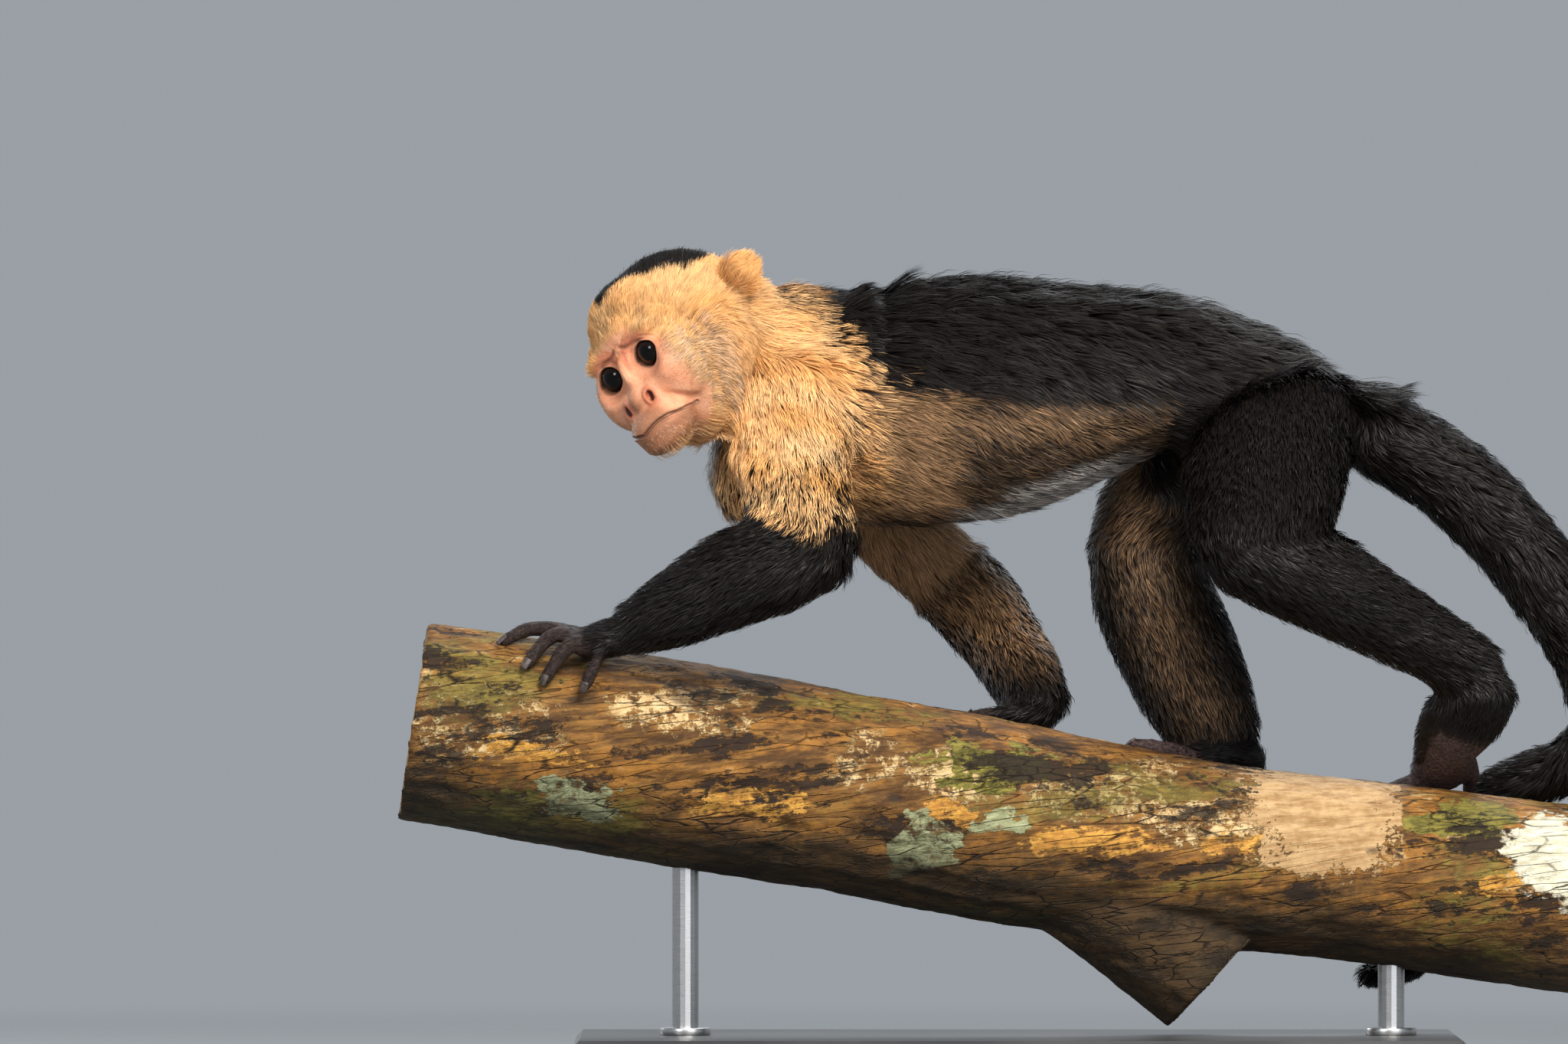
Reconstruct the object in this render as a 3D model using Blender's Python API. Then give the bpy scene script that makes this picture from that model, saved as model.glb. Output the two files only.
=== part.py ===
"""A life-size capuchin monkey walking along a cut length of branch, on a plain display stand.

Metres, +Z up. The origin is the middle of the stand's underside. The monkey walks towards -X, its left
side faces -Y, and its head is turned towards -Y. Tables of places and radii are in millimetres.

The body is modelled whole: lofts and ellipsoids are joined to one closed mesh, which is then parted by
thin cuts at the joints. Every outline is that of the coat's tips.
"""

import math

import bmesh
import bpy
import numpy as np
from mathutils import Euler, Matrix, Vector
from mathutils.bvhtree import BVHTree

MM = 0.001
GAP = 0.3  # between pieces that touch
# Voxel size and smoothing passes of the meshes that join trunk and limbs, the skull and jaws, and then all.
CORE_VOXEL, CORE_SMOOTHING = 2.2, 14
SKULL_VOXEL, SKULL_SMOOTHING = 1.5, 16
VOXEL, SMOOTHING = 1.3, 7

# ---------------------------------------------------------------- stand and branch

BASE_SIZE = (400.0, 210.0, 24.0)
BASE_EDGE = 3.0
ROD_RADIUS = 6.0
ROD_DEPTH = 14.0  # how far each rod goes into the base and into the branch
ROD_PLACES = {"stand_rod_front": -150.0, "stand_rod_back": 168.0}
BRANCH_SIDES = 22

# The branch's axis: x, height, radius. A lower fork leaves it and is sawn off.
BRANCH = [
    (-272, 165.5, 44.0),
    (-154, 146.5, 46.0),
    (-79, 133.5, 44.5),
    (-10, 120.5, 45.0),
    (76, 105.8, 42.0),
    (141, 99.0, 40.0),
    (205, 91.2, 41.0),
    (276, 82.5, 42.5),
]
FORK = [(-14, 122, 34.0), (30, 101, 35.0), (62, 76, 33.5), (89, 52, 32.0)]

# ---------------------------------------------------------------- trunk, neck and tail

TRUNK = [  # x, y, z, half height, half width
    (-116, -3, 322, 34, 24),
    (-98, -1, 315, 46, 31),
    (-69, 0, 310, 56, 38),
    (-30, 0, 311, 57.5, 42),
    (0, 0, 314, 54.5, 43),
    (36, 0, 320, 44.5, 40),
    (64, 0, 323, 37.5, 36),
    (93, 0, 315, 35.5, 36),
    (118, 0, 307, 31.5, 32),
    (138, 0, 302, 23.5, 24),
]
NECK = [(-148, -15, 337, 31, 27), (-132, -10, 331, 36, 30), (-117, -6, 326, 40, 30), (-100, -2, 320, 44, 31)]
CHEST = [((-113, -4, 283), (29, 24, 32)), ((-115, -9, 273), (25, 20, 23))]
NAPE = ((-118, -8, 347), (14, 19, 20))
TAIL = [  # x, y, z, radius
    (120, 0, 305, 23),
    (145, 0, 302, 22),
    (172, 0, 290, 21.5),
    (205, 1, 266, 21),
    (235, 2, 232, 20.5),
    (258, 5, 195, 19),
    (265, 8, 168, 17.5),
    (255, 13, 150, 16),
    (237, 22, 141, 14.5),
    (218, 33, 132, 13.5),
    (206, 46, 118, 12.5),
    (200, 53, 100, 12),
    (194, 52, 80, 11.5),
    (184, 44, 62, 10.5),
    (171, 31, 53, 9),
    (157, 18, 51, 6.5),
]

# ---------------------------------------------------------------- limbs: x, y, z, radius from the side, radius across

UPPER_ARM = {
    "left": [(-101, -27, 322, 24, 17), (-104, -40, 296, 29, 19), (-98, -55, 266, 25, 19), (-89, -65, 244, 20, 18)],
    "right": [(-84, 27, 310, 26, 18), (-74, 43, 284, 25, 19), (-56, 60, 254, 23, 20), (-34, 73, 233, 21, 20)],
}
FOREARM = {
    "left": [(-88, -66, 243, 20, 18), (-108, -62, 237, 24, 19), (-128, -54, 230, 24, 18),
             (-152, -44, 217.5, 20, 15.5), (-172, -34, 208, 14.5, 12.5)],
    "right": [(-34, 74, 233, 21, 20), (-18, 68, 217, 22, 19), (-6, 53, 200, 20, 17), (3, 38, 186, 19, 16),
              (10, 26, 172, 17, 14)],
}
PALM = {
    "left": [(-172, -33, 207, 12.5, 11), (-184, -29, 203, 12.5, 9), (-194, -25, 201, 12.5, 7)],
    "right": [(10, 26, 171, 13, 11), (0, 29, 164, 12, 8), (-10, 31, 161, 12, 6.5)],
}
THIGH = {
    "left": [(122, -18, 308, 34, 26), (112, -38, 288, 39, 27), (108, -60, 264, 37, 26), (99, -77, 245, 27, 24)],
    "right": [(120, 18, 306, 33, 25), (94, 34, 284, 34, 25), (67, 46, 262, 31, 23), (56, 51, 245, 26, 22)],
}
SHIN = {
    "left": [(98, -80, 243, 22, 21), (118, -76, 237, 25, 21), (143, -66, 224, 23, 18), (164, -55, 212, 20.5, 16),
             (187, -44, 199, 18, 14.5), (205, -38, 188, 17, 13)],
    "right": [(56, 51, 244, 26, 22), (62, 49, 220, 29, 20), (72, 44, 198, 29, 18), (82, 38, 176, 27, 16),
              (92, 33, 156, 22, 12)],
}
FOOT = {
    "left": [(211, -41, 181, 16, 12), (200, -29, 168, 20, 11), (192, -13, 155, 16, 9), (190, 2, 146, 14, 8),
             (188, 12, 140, 13, 7)],
    "right": [(108, 31, 147, 9, 9), (96, 31, 147, 13, 9), (80, 32, 144, 13, 7.5), (66, 35, 141, 13, 6.5)],
}
PALM_WIDE = {"left": (0.3, 1.0, 0.35), "right": (0.2, 1.0, -0.75)}
FOOT_WIDE = {"left": (0.88, 0.21, -0.42), "right": (0.1, 1.0, -0.7)}

DIGIT_RADII = (4.4, 4.0, 3.2)  # at the root, the knuckle and the tip
DIGITS = {  # root, knuckle and tip of each
    "hand_left": [
        [(-187, -15, 203), (-198, -2, 203), (-207, 7, 200)],
        [(-196, -20, 204), (-217, -16, 207.5), (-232, -21, 201.5)],
        [(-195, -25, 203), (-210, -28, 204), (-221, -36, 191)],
        [(-190, -30, 201), (-202, -35, 200), (-213, -41, 184)],
        [(-183, -36, 201), (-186, -41, 200), (-195, -44, 181)],
    ],
    "hand_right": [
        [(2, 20, 168), (-10, 18, 169), (-22, 21, 167)],
        [(-9, 26, 163), (-24, 30, 163.5), (-38, 36, 156)],
        [(-12, 31, 161), (-27, 39, 157), (-37, 45, 144)],
        [(-10, 36, 158), (-22, 45, 149), (-30, 48, 134)],
        [(-5, 40, 155), (-11, 49, 145), (-17, 49, 129)],
    ],
    "foot_left": [
        [(201, -2, 151), (205, 9, 142), (203, 20, 134)],
        [(191, 14, 137), (187, 27, 129), (183, 38, 119)],
        [(187, 14, 137), (179, 28, 128.5), (172, 40, 117)],
        [(183, 13, 137), (171, 28, 129.5), (162, 40, 119)],
        [(179, 11, 138), (165, 25, 132), (154, 37, 124)],
    ],
    "foot_right": [
        [(84, 23, 148), (66, 14, 153), (51, 12, 155)],
        [(66, 29, 144), (51, 29, 148), (37, 33, 143)],
        [(64, 34, 141), (47, 36, 143), (36, 41, 132)],
        [(66, 39, 137), (51, 43, 136), (41, 46, 123)],
        [(70, 42, 134), (58, 47, 129), (50, 47, 115)],
    ],
}

# ---------------------------------------------------------------- head

# The head's own axes: x forward, y to its left, z up, from the midpoint of the eyeballs.
EYES_MIDDLE = (-171.0, -50.0, 327.0)
HEAD_TURN, HEAD_DROP, HEAD_TILT = 54.0, 20.5, 29.0
HEAD = Matrix.Translation(EYES_MIDDLE) @ Euler(
    [math.radians(angle) for angle in (HEAD_TILT, HEAD_DROP, 180.0 + HEAD_TURN)], "XYZ"
).to_matrix().to_4x4()
EYE_RADIUS = 8.4
EYE_SPACING = 13.0  # of each eyeball's centre from the middle
EYE_RINGS = 10
EYE_OPENING = (5.6, 5.9)  # half height and half width of the gap between the lids

# Centre, radii and turn of each ball of the head. Those off the middle are made on both sides.
SKULL_SHAPES = [
    ((-36, 0, 6), (42, 33, 33), (0, 0, 0)),  # cranium under the cap
    ((-14, 0, 12), (22, 25.5, 25.5), (0, 0, 0)),  # forehead
    ((-9, 0, -6), (19, 26.5, 20), (0, 0, 0)),  # face
    ((-3, 16, -10), (16, 13, 19), (0, 0, 0)),  # cheekbone
    ((-25, 18, -15), (24, 18, 21), (0, 0, -12)),  # cheek
    ((-24, 0, -27), (29, 27, 20.5), (0, 4, 0)),  # jaw and throat
    ((2, 8, -16), (15, 10, 11), (0, 20, 0)),  # flank of the nose
    ((7, 0, -26), (19.5, 16, 10.5), (0, 14, 0)),  # muzzle
    ((8, 0, -33), (15.5, 12.5, 8), (0, 16, 0)),  # chin
]
FEATURE_SHAPES = [
    ((1.5, 12, 9), (7, 12.5, 5.4), (0, 0, -14)),  # brow
    ((6.5, 0, -8), (7.5, 6.4, 12), (0, 22, 0)),  # bridge of the nose
    ((12.5, 0, -16), (6.8, 8.8, 5.6), (0, 10, 0)),  # nose
    ((-49.3, 36.6, 6.8), (9.8, 4.4, 10.6), (-14, 6, -26)),  # ear
]
HEAD_PUSHES = [  # centre, reach and move, on both sides
    ((10, 12.5, 0), 9.5, (-4.5, 0.3, 0)),  # eye socket
    ((21, 1.5, -21.5), 6.0, (-0.8, 0, 0)),  # under the nose
    ((-50, 43, 9), 11.0, (0, -2.5, 0)),  # the ear's bowl
]

# ---------------------------------------------------------------- parting

SEEDS = {  # a point inside each piece
    "head": (-150, -30, 330),
    "neck": (-116, -6, 326),
    "trunk_chest": (-60, 0, 310),
    "trunk_belly": (15, 0, 315),
    "trunk_hips": (92, 0, 315),
    "tail_1": (180, 0, 285),
    "tail_2": (236, 2, 231),
    "tail_3": (262, 7, 175),
    "tail_4": (222, 31, 134),
    "tail_5": (193, 51, 78),
    "upper_arm_left": (-98, -54, 268),
    "upper_arm_right": (-62, 55, 263),
    "forearm_left": (-128, -54, 230),
    "forearm_right": (-6, 53, 200),
    "hand_left": (-184, -29, 203),
    "hand_right": (-3, 29, 163),
    "thigh_left": (108, -58, 266),
    "thigh_right": (72, 45, 264),
    "shin_left": (145, -65, 223),
    "shin_right": (72, 44, 198),
    "foot_left": (194, -17, 157),
    "foot_right": (80, 32, 145),
}
CUTS = [  # a seed in the piece that is cut, the disc's centre, normal and radius
    ("tail_1", (160, 0, 296), (0.93, 0, -0.37), 34),
    ("neck", (-131, -12, 328), (0.87, 0.3, -0.39), 58),
    ("trunk_chest", (-104, -33, 305), (0.33, 0.9, 0.25), 72),
    ("trunk_chest", (-86, 33, 303), (-0.33, 0.9, -0.25), 72),
    ("trunk_hips", (112, -30, 294), (-0.3, 0.87, 0.38), 66),
    ("trunk_hips", (94, 32, 287), (-0.15, 0.85, -0.44), 56),
    ("neck", (-107, -3, 318), (0.9, 0.1, -0.38), 90),
    ("trunk_chest", (-28, 0, 311), (1, 0, 0.03), 70),
    ("trunk_belly", (60, 0, 323), (1, 0, -0.1), 60),
    ("upper_arm_left", (-90, -64, 247), (-0.54, -0.06, -0.84), 46),
    ("upper_arm_right", (-33, 73, 233), (0.7, -0.1, -0.7), 36),
    ("forearm_left", (-173, -33, 207), (-0.85, 0.35, -0.35), 24),
    ("forearm_right", (8, 28, 174), (-0.1, -0.35, -0.9), 26),
    ("thigh_left", (112, -72, 243), (0.16, -0.25, -0.95), 60),
    ("thigh_right", (56, 51, 246), (-0.1, 0.05, -1), 44),
    ("shin_left", (199, -38, 184), (0.5, 0.45, -0.8), 34),
    ("shin_right", (92, 33, 158), (0.2, -0.1, -0.97), 27),
    ("tail_1", (218, 1, 253), (0.72, 0, -0.7), 30),
    ("tail_2", (255, 4, 203), (0.45, 0.05, -0.88), 28),
    ("tail_3", (247, 17, 145), (-0.85, 0.45, -0.3), 24),
    ("tail_4", (203, 49, 110), (-0.4, 0.45, -0.8), 20),
]
EAR_CUT = ((-50, 35.2, 8), (0.12, 0.98, 0.08), 24)  # in the head's frame, for the left ear
EAR_SEED = (-53, 38.2, 8)
SEEDS["ear_left"] = HEAD @ Vector(EAR_SEED)
SEEDS["ear_right"] = HEAD @ Vector((EAR_SEED[0], -EAR_SEED[1], EAR_SEED[2]))
# Triangles of the whole body that each kind of node is taken from, so the head and hands are finer.
DETAIL = {"head": 7400, "ear": 7400, "hand": 5400, "foot": 4700}
PLAIN_DETAIL = 2850


def clear_scene():
    for obj in list(bpy.data.objects):
        bpy.data.objects.remove(obj, do_unlink=True)


def material(name, colour, roughness, metallic=0.0):
    made = bpy.data.materials.new(name)
    made.use_nodes = True
    shader = made.node_tree.nodes["Principled BSDF"]
    shader.inputs["Base Color"].default_value = (*colour, 1.0)
    shader.inputs["Roughness"].default_value = roughness
    shader.inputs["Metallic"].default_value = metallic
    made.diffuse_color = (*colour, 1.0)
    return made


def add_object(name, mesh):
    obj = bpy.data.objects.new(name, mesh)
    bpy.context.scene.collection.objects.link(obj)
    return obj


def object_from(name, build):
    """A new object from a bmesh, which is freed."""
    mesh = bpy.data.meshes.new(name)
    build.to_mesh(mesh)
    build.free()
    return add_object(name, mesh)


def remove(*objects):
    for obj in objects:
        bpy.data.objects.remove(obj, do_unlink=True)


def add_modifier(obj, kind, **settings):
    modifier = obj.modifiers.new(kind.title(), kind)
    for key, value in settings.items():
        setattr(modifier, key, value)


def apply_modifiers(obj):
    """Replaces the object's mesh with the one its modifiers make."""
    graph = bpy.context.evaluated_depsgraph_get()
    made = bpy.data.meshes.new_from_object(obj.evaluated_get(graph))
    obj.modifiers.clear()
    obj.data = made


def boolean(obj, other, operation="DIFFERENCE"):
    add_modifier(obj, "BOOLEAN", operation=operation, object=other, solver="EXACT")
    apply_modifiers(obj)


def smooth_line(rows, steps):
    """Points on a Catmull-Rom curve through the rows, with the radii carried along."""
    rows = np.asarray(rows, float)
    ends = np.vstack([2 * rows[0] - rows[1], rows, 2 * rows[-1] - rows[-2]])
    made = []
    for before, start, stop, after in zip(ends, ends[1:], ends[2:], ends[3:]):
        for t in np.arange(steps) / steps:
            made.append(
                0.5 * (2 * start + (stop - before) * t + (2 * before - 5 * start + 4 * stop - after) * t**2
                       + (3 * start - before - 3 * stop + after) * t**3)
            )
    return np.vstack([made, rows[-1]])


def end_rings(point, radii, outwards):
    """Rings that close a tube's end as a round cap, the widest first."""
    rings = []
    for share in (0.4, 0.75, 0.97):
        place = point + outwards * radii.min() * share * 0.8
        rings.append((place, radii * math.sqrt(1 - share**2), outwards))
    return rings


def loft(rows, wide=(1, 0, 0), sides=20, steps=5, round_ends=True):
    """A closed tube through rows of x, y, z, radius along `wide` and radius across it."""
    line = smooth_line(rows, steps)
    points, radii = line[:, :3], line[:, 3:5]
    along = np.gradient(points, axis=0)
    along /= np.linalg.norm(along, axis=1)[:, None]
    rings = list(zip(points, radii, along))
    if round_ends:
        start = [(p, r, along[0]) for p, r, _ in end_rings(points[0], radii[0], -along[0])]
        rings = start[::-1] + rings + end_rings(points[-1], radii[-1], along[-1])
    turn = np.linspace(0, 2 * math.pi, sides, endpoint=False)
    build = bmesh.new()
    loops = []
    for centre, radius, direction in rings:
        across = np.asarray(wide, float) - direction * np.dot(wide, direction)
        across /= np.linalg.norm(across)
        other = np.cross(direction, across)
        ring = centre + np.outer(np.cos(turn) * radius[0], across) + np.outer(np.sin(turn) * radius[1], other)
        loops.append([build.verts.new(point * MM) for point in ring])
    for lower, upper in zip(loops, loops[1:]):
        for i in range(sides):
            j = (i + 1) % sides
            build.faces.new((lower[i], lower[j], upper[j], upper[i]))
    build.faces.new(loops[0][::-1])
    build.faces.new(loops[-1])
    bmesh.ops.recalc_face_normals(build, faces=build.faces)
    return object_from("shape", build)


def ball(centre, radii, turn=(0, 0, 0), frame=Matrix.Identity(4), rings=18):
    """An ellipsoid, placed in the part's frame or in the head's."""
    angles = Euler([math.radians(angle) for angle in turn])
    place = frame @ Matrix.Translation(centre) @ angles.to_matrix().to_4x4() @ Matrix.Diagonal((*radii, 1.0))
    build = bmesh.new()
    bmesh.ops.create_uvsphere(build, u_segments=round(rings * 1.5), v_segments=rings, radius=1.0)
    build.transform(Matrix.Scale(MM, 4) @ place)
    return object_from("shape", build)


def tube(start, direction, radius, length, sides=48, oval=1.0):
    """A straight cylinder from a point along a direction; `oval` stretches it upwards in its own frame."""
    turn = Vector(direction).to_track_quat("Z", "Y").to_matrix().to_4x4()
    build = bmesh.new()
    bmesh.ops.create_cone(build, cap_ends=True, segments=sides, radius1=radius, radius2=radius, depth=length)
    bmesh.ops.translate(build, verts=build.verts, vec=(0, 0, length / 2))
    build.transform(Matrix.Scale(MM, 4) @ Matrix.Translation(start) @ turn @ Matrix.Diagonal((1, oval, 1, 1)))
    return object_from("shape", build)


def join(name, objects):
    build = bmesh.new()
    for obj in objects:
        build.from_mesh(obj.data)
    remove(*objects)
    return object_from(name, build)


def mirrored(values):
    return (values[0], -values[1], values[2])


def head_ball(centre, radii, turn):
    """An ellipsoid of the head, with its twin on the right side where it lies off the middle."""
    made = [ball(centre, radii, turn, HEAD)]
    if centre[1]:
        made.append(ball(mirrored(centre), radii, (-turn[0], turn[1], -turn[2]), HEAD))
    return made


# ---------------------------------------------------------------- the whole body


def fused(name, shapes, voxel, passes):
    """One closed mesh over the shapes, smoothed."""
    made = join(name, shapes)
    add_modifier(made, "REMESH", mode="VOXEL", voxel_size=voxel * MM)
    add_modifier(made, "SMOOTH", factor=0.5, iterations=passes)
    apply_modifiers(made)
    return made


def core_shapes():
    """Trunk, neck, tail and limbs."""
    made = [loft(TRUNK, wide=(0, 0, 1)), loft(NECK, wide=(0, 0, 1))]
    made += [ball(*row) for row in (*CHEST, NAPE)]
    made.append(loft([(*row, row[3]) for row in TAIL], wide=(0.1, 1, 0.2), sides=16))
    for side in ("left", "right"):
        made.append(loft(UPPER_ARM[side]))
        made.append(loft(FOREARM[side], wide=(0.4, 0, 1)))
        made.append(loft(THIGH[side], wide=(1, 0, 0.2)))
        made.append(loft(SHIN[side], wide=(0.6, 0, 1)))
        made.append(loft(FOOT[side], wide=FOOT_WIDE[side]))
    return made


def hand_shapes():
    made = [loft(PALM[side], wide=PALM_WIDE[side]) for side in PALM]
    for rows in DIGITS.values():
        for digit in rows:
            line = [(*point, radius, radius) for point, radius in zip(digit, DIGIT_RADII)]
            made.append(loft(line, wide=(0.3, 0.2, 1), sides=10, steps=4))
    return made


def head_shapes():
    skull = [shape for row in SKULL_SHAPES for shape in head_ball(*row)]
    features = [shape for row in FEATURE_SHAPES for shape in head_ball(*row)]
    return [fused("skull", skull, SKULL_VOXEL, SKULL_SMOOTHING), *features]


def push_head(mesh):
    """Presses the sockets, the lip and the ears' bowls into the joined mesh."""
    points = np.array([vertex.co for vertex in mesh.vertices]) / MM
    back, there = np.array(HEAD.inverted()), np.array(HEAD)
    local = points @ back[:3, :3].T + back[:3, 3]
    for row in HEAD_PUSHES:
        for centre, move in ((row[0], row[2]), (mirrored(row[0]), mirrored(row[2]))):
            away = np.linalg.norm(local - np.array(centre), axis=1) / row[1]
            local += np.outer(np.clip(1 - away**2, 0, 1) ** 2, move)
    world = (local @ there[:3, :3].T + there[:3, 3]) * MM
    mesh.vertices.foreach_set("co", world.astype(np.float32).ravel())


def make_body():
    """One closed mesh of the whole animal."""
    core = fused("core", core_shapes(), CORE_VOXEL, CORE_SMOOTHING)
    body = fused("body", [core, *hand_shapes(), *head_shapes()], VOXEL, SMOOTHING)
    push_head(body.data)
    return body


def thinned(body, triangles):
    copy = add_object("thinned", body.data.copy())
    build = bmesh.new()
    build.from_mesh(copy.data)
    bmesh.ops.triangulate(build, faces=build.faces)
    count = len(build.faces)
    build.to_mesh(copy.data)
    build.free()
    add_modifier(copy, "DECIMATE", ratio=triangles / count, use_collapse_triangulate=True)
    apply_modifiers(copy)
    return copy


# ---------------------------------------------------------------- parting it


def islands(obj):
    """The object's separate bodies, each an object of its own. The object itself is removed."""
    build = bmesh.new()
    build.from_mesh(obj.data)
    bmesh.ops.triangulate(build, faces=build.faces)
    build.verts.ensure_lookup_table()
    found, seen = [], set()
    for first in build.verts:
        if first in seen:
            continue
        group, queue = {first}, [first]
        while queue:
            for edge in queue.pop().link_edges:
                for vertex in edge.verts:
                    if vertex not in group:
                        group.add(vertex)
                        queue.append(vertex)
        seen |= group
        places = {vertex: i for i, vertex in enumerate(group)}
        faces = {face for vertex in group for face in vertex.link_faces}
        if len(faces) < 12:
            continue
        mesh = bpy.data.meshes.new("piece")
        mesh.from_pydata([vertex.co for vertex in group], [], [[places[v] for v in face.verts] for face in faces])
        found.append(add_object("piece", mesh))
    build.free()
    remove(obj)
    return found


def holds(obj, point):
    """Whether a point in millimetres lies inside a closed object: a ray from it leaves an odd number of times."""
    build = bmesh.new()
    build.from_mesh(obj.data)
    tree = BVHTree.FromBMesh(build)
    build.free()
    place, direction = Vector(point) * MM, Vector((0.31, 0.52, 0.79)).normalized()
    crossings = 0
    while (hit := tree.ray_cast(place, direction)[0]) is not None:
        crossings += 1
        place = hit + direction * GAP * MM / 100
    return crossings % 2 == 1


def cut(pieces, seed, centre, normal, radius):
    """Parts the piece round the seed with a disc as thick as the gap."""
    piece = next(obj for obj in pieces if holds(obj, seed))
    direction = Vector(normal).normalized()
    disc = tube(Vector(centre) - direction * GAP / 2, direction, radius, GAP, sides=32)
    boolean(piece, disc)
    remove(disc)
    pieces.remove(piece)
    pieces.extend(islands(piece))


def part_body(body, branch_room):
    """The body's pieces by name, with room for the branch."""
    boolean(body, branch_room)
    pieces = islands(body)
    for node, centre, normal, radius in CUTS:
        cut(pieces, SEEDS[node], centre, normal, radius)
    for values in (EAR_CUT[:2], [mirrored(v) for v in EAR_CUT[:2]]):
        centre = HEAD @ Vector(values[0])
        normal = HEAD.to_3x3() @ Vector(values[1])
        cut(pieces, SEEDS["head"], centre, normal, EAR_CUT[2])
    named = {}
    for name, seed in SEEDS.items():
        named[name] = next(obj for obj in pieces if obj not in named.values() and holds(obj, seed))
        named[name].name = name
    remove(*[obj for obj in pieces if obj not in named.values()])
    return named


def make_flesh(branch_room):
    """Every node of the body, each from a mesh as fine as it needs."""
    body = make_body()
    made = {}
    for triangles in sorted({PLAIN_DETAIL, *DETAIL.values()}):
        for name, obj in part_body(thinned(body, triangles), branch_room).items():
            if DETAIL.get(name.split("_")[0], PLAIN_DETAIL) == triangles:
                made[name] = obj
            else:
                remove(obj)
    remove(body)
    return made


# ---------------------------------------------------------------- eyes


def make_eyes(head):
    """Two eyeballs, with sockets in the head that open between the lids."""
    forward = HEAD.to_3x3() @ Vector((1, 0, 0))
    for side, name in ((1, "eye_left"), (-1, "eye_right")):
        centre = (0, side * EYE_SPACING, 0)
        socket = ball(centre, (EYE_RADIUS + GAP,) * 3, frame=HEAD, rings=EYE_RINGS)
        gap = tube(HEAD @ Vector(centre), forward, EYE_OPENING[0], 40, sides=16, oval=EYE_OPENING[1] / EYE_OPENING[0])
        boolean(head, socket)
        boolean(head, gap)
        remove(socket, gap)
        eye = ball(centre, (EYE_RADIUS,) * 3, frame=HEAD, rings=EYE_RINGS)
        eye.name = name


# ---------------------------------------------------------------- branch and stand


def branch_loft(rows, extra=0.0):
    line = [(x, 0, z, radius + extra, radius + extra) for x, z, radius in rows]
    return loft(line, wide=(0, 1, 0), sides=BRANCH_SIDES, steps=2, round_ends=False)


def branch_underside(x):
    """The height of the branch's lowest line."""
    line = np.array(BRANCH, float)
    return np.interp(x, line[:, 0], line[:, 1] - line[:, 2])


def make_stand():
    """The base and its rods. Returns the rods' bores, already taken out of the base."""
    build = bmesh.new()
    bmesh.ops.create_cube(build, size=1.0)
    bmesh.ops.translate(build, verts=build.verts, vec=(0, 0, 0.5))
    bmesh.ops.scale(build, verts=build.verts, vec=Vector(BASE_SIZE) * MM)
    upper = [edge for edge in build.edges if max(v.co.z for v in edge.verts) > 0]
    bmesh.ops.bevel(build, geom=upper, offset=BASE_EDGE * MM, segments=1, profile=0.5, affect="EDGES")
    base = object_from("stand_base", build)
    bores = []
    for name, x in ROD_PLACES.items():
        low, high = BASE_SIZE[2] - ROD_DEPTH, branch_underside(x) + ROD_DEPTH
        rod = tube((x, 0, low), (0, 0, 1), ROD_RADIUS, high - low, sides=16)
        rod.name = name
        bore = tube((x, 0, low - GAP), (0, 0, 1), ROD_RADIUS + GAP, high - low + 2 * GAP, sides=16)
        boolean(base, bore)
        bores.append(bore)
    return bores


def make_perch(bores):
    """The branch and its sawn fork, drilled for the rods."""
    branch = branch_loft(BRANCH)
    fork = branch_loft(FORK)
    room = branch_loft(BRANCH, GAP)
    boolean(fork, room)
    remove(room)
    for bore in bores:
        boolean(branch, bore)
    branch.name, fork.name = "perch_branch", "perch_fork"


# ---------------------------------------------------------------- colours

FINISHES = {  # colour, roughness, metallic
    "coat_black": ((0.016, 0.013, 0.012), 0.65, 0.0),
    "coat_cream": ((0.62, 0.43, 0.22), 0.75, 0.0),
    "skin_dark": ((0.055, 0.040, 0.036), 0.55, 0.0),
    "eye_brown": ((0.012, 0.006, 0.004), 0.05, 0.0),
    "bark": ((0.23, 0.17, 0.09), 0.9, 0.0),
    "stand_paint": ((0.045, 0.045, 0.048), 0.45, 0.0),
    "stand_steel": ((0.55, 0.55, 0.56), 0.3, 1.0),
}
FINISH_OF = {  # by the first word of a node's name
    "head": "coat_cream",
    "neck": "coat_cream",
    "ear": "coat_cream",
    "upper": "coat_cream",
    "eye": "eye_brown",
    "hand": "skin_dark",
    "foot": "skin_dark",
    "perch": "bark",
    "stand_base": "stand_paint",
    "stand_rod": "stand_steel",
}


def finish_of(name):
    for start, finish in FINISH_OF.items():
        if name.startswith(start):
            return finish
    return "coat_black"


def main():
    clear_scene()
    branch_room = branch_loft(BRANCH, GAP)
    flesh = make_flesh(branch_room)
    remove(branch_room)
    make_eyes(flesh["head"])
    bores = make_stand()
    make_perch(bores)
    remove(*bores)
    materials = {name: material(name, *values) for name, values in FINISHES.items()}
    for obj in bpy.data.objects:
        obj.data.materials.clear()
        obj.data.materials.append(materials[finish_of(obj.name)])


main()
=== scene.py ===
import math

import bpy
import numpy as np
from mathutils import Euler, Matrix, Vector, noise
from mathutils.bvhtree import BVHTree
from mathutils.kdtree import KDTree


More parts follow.
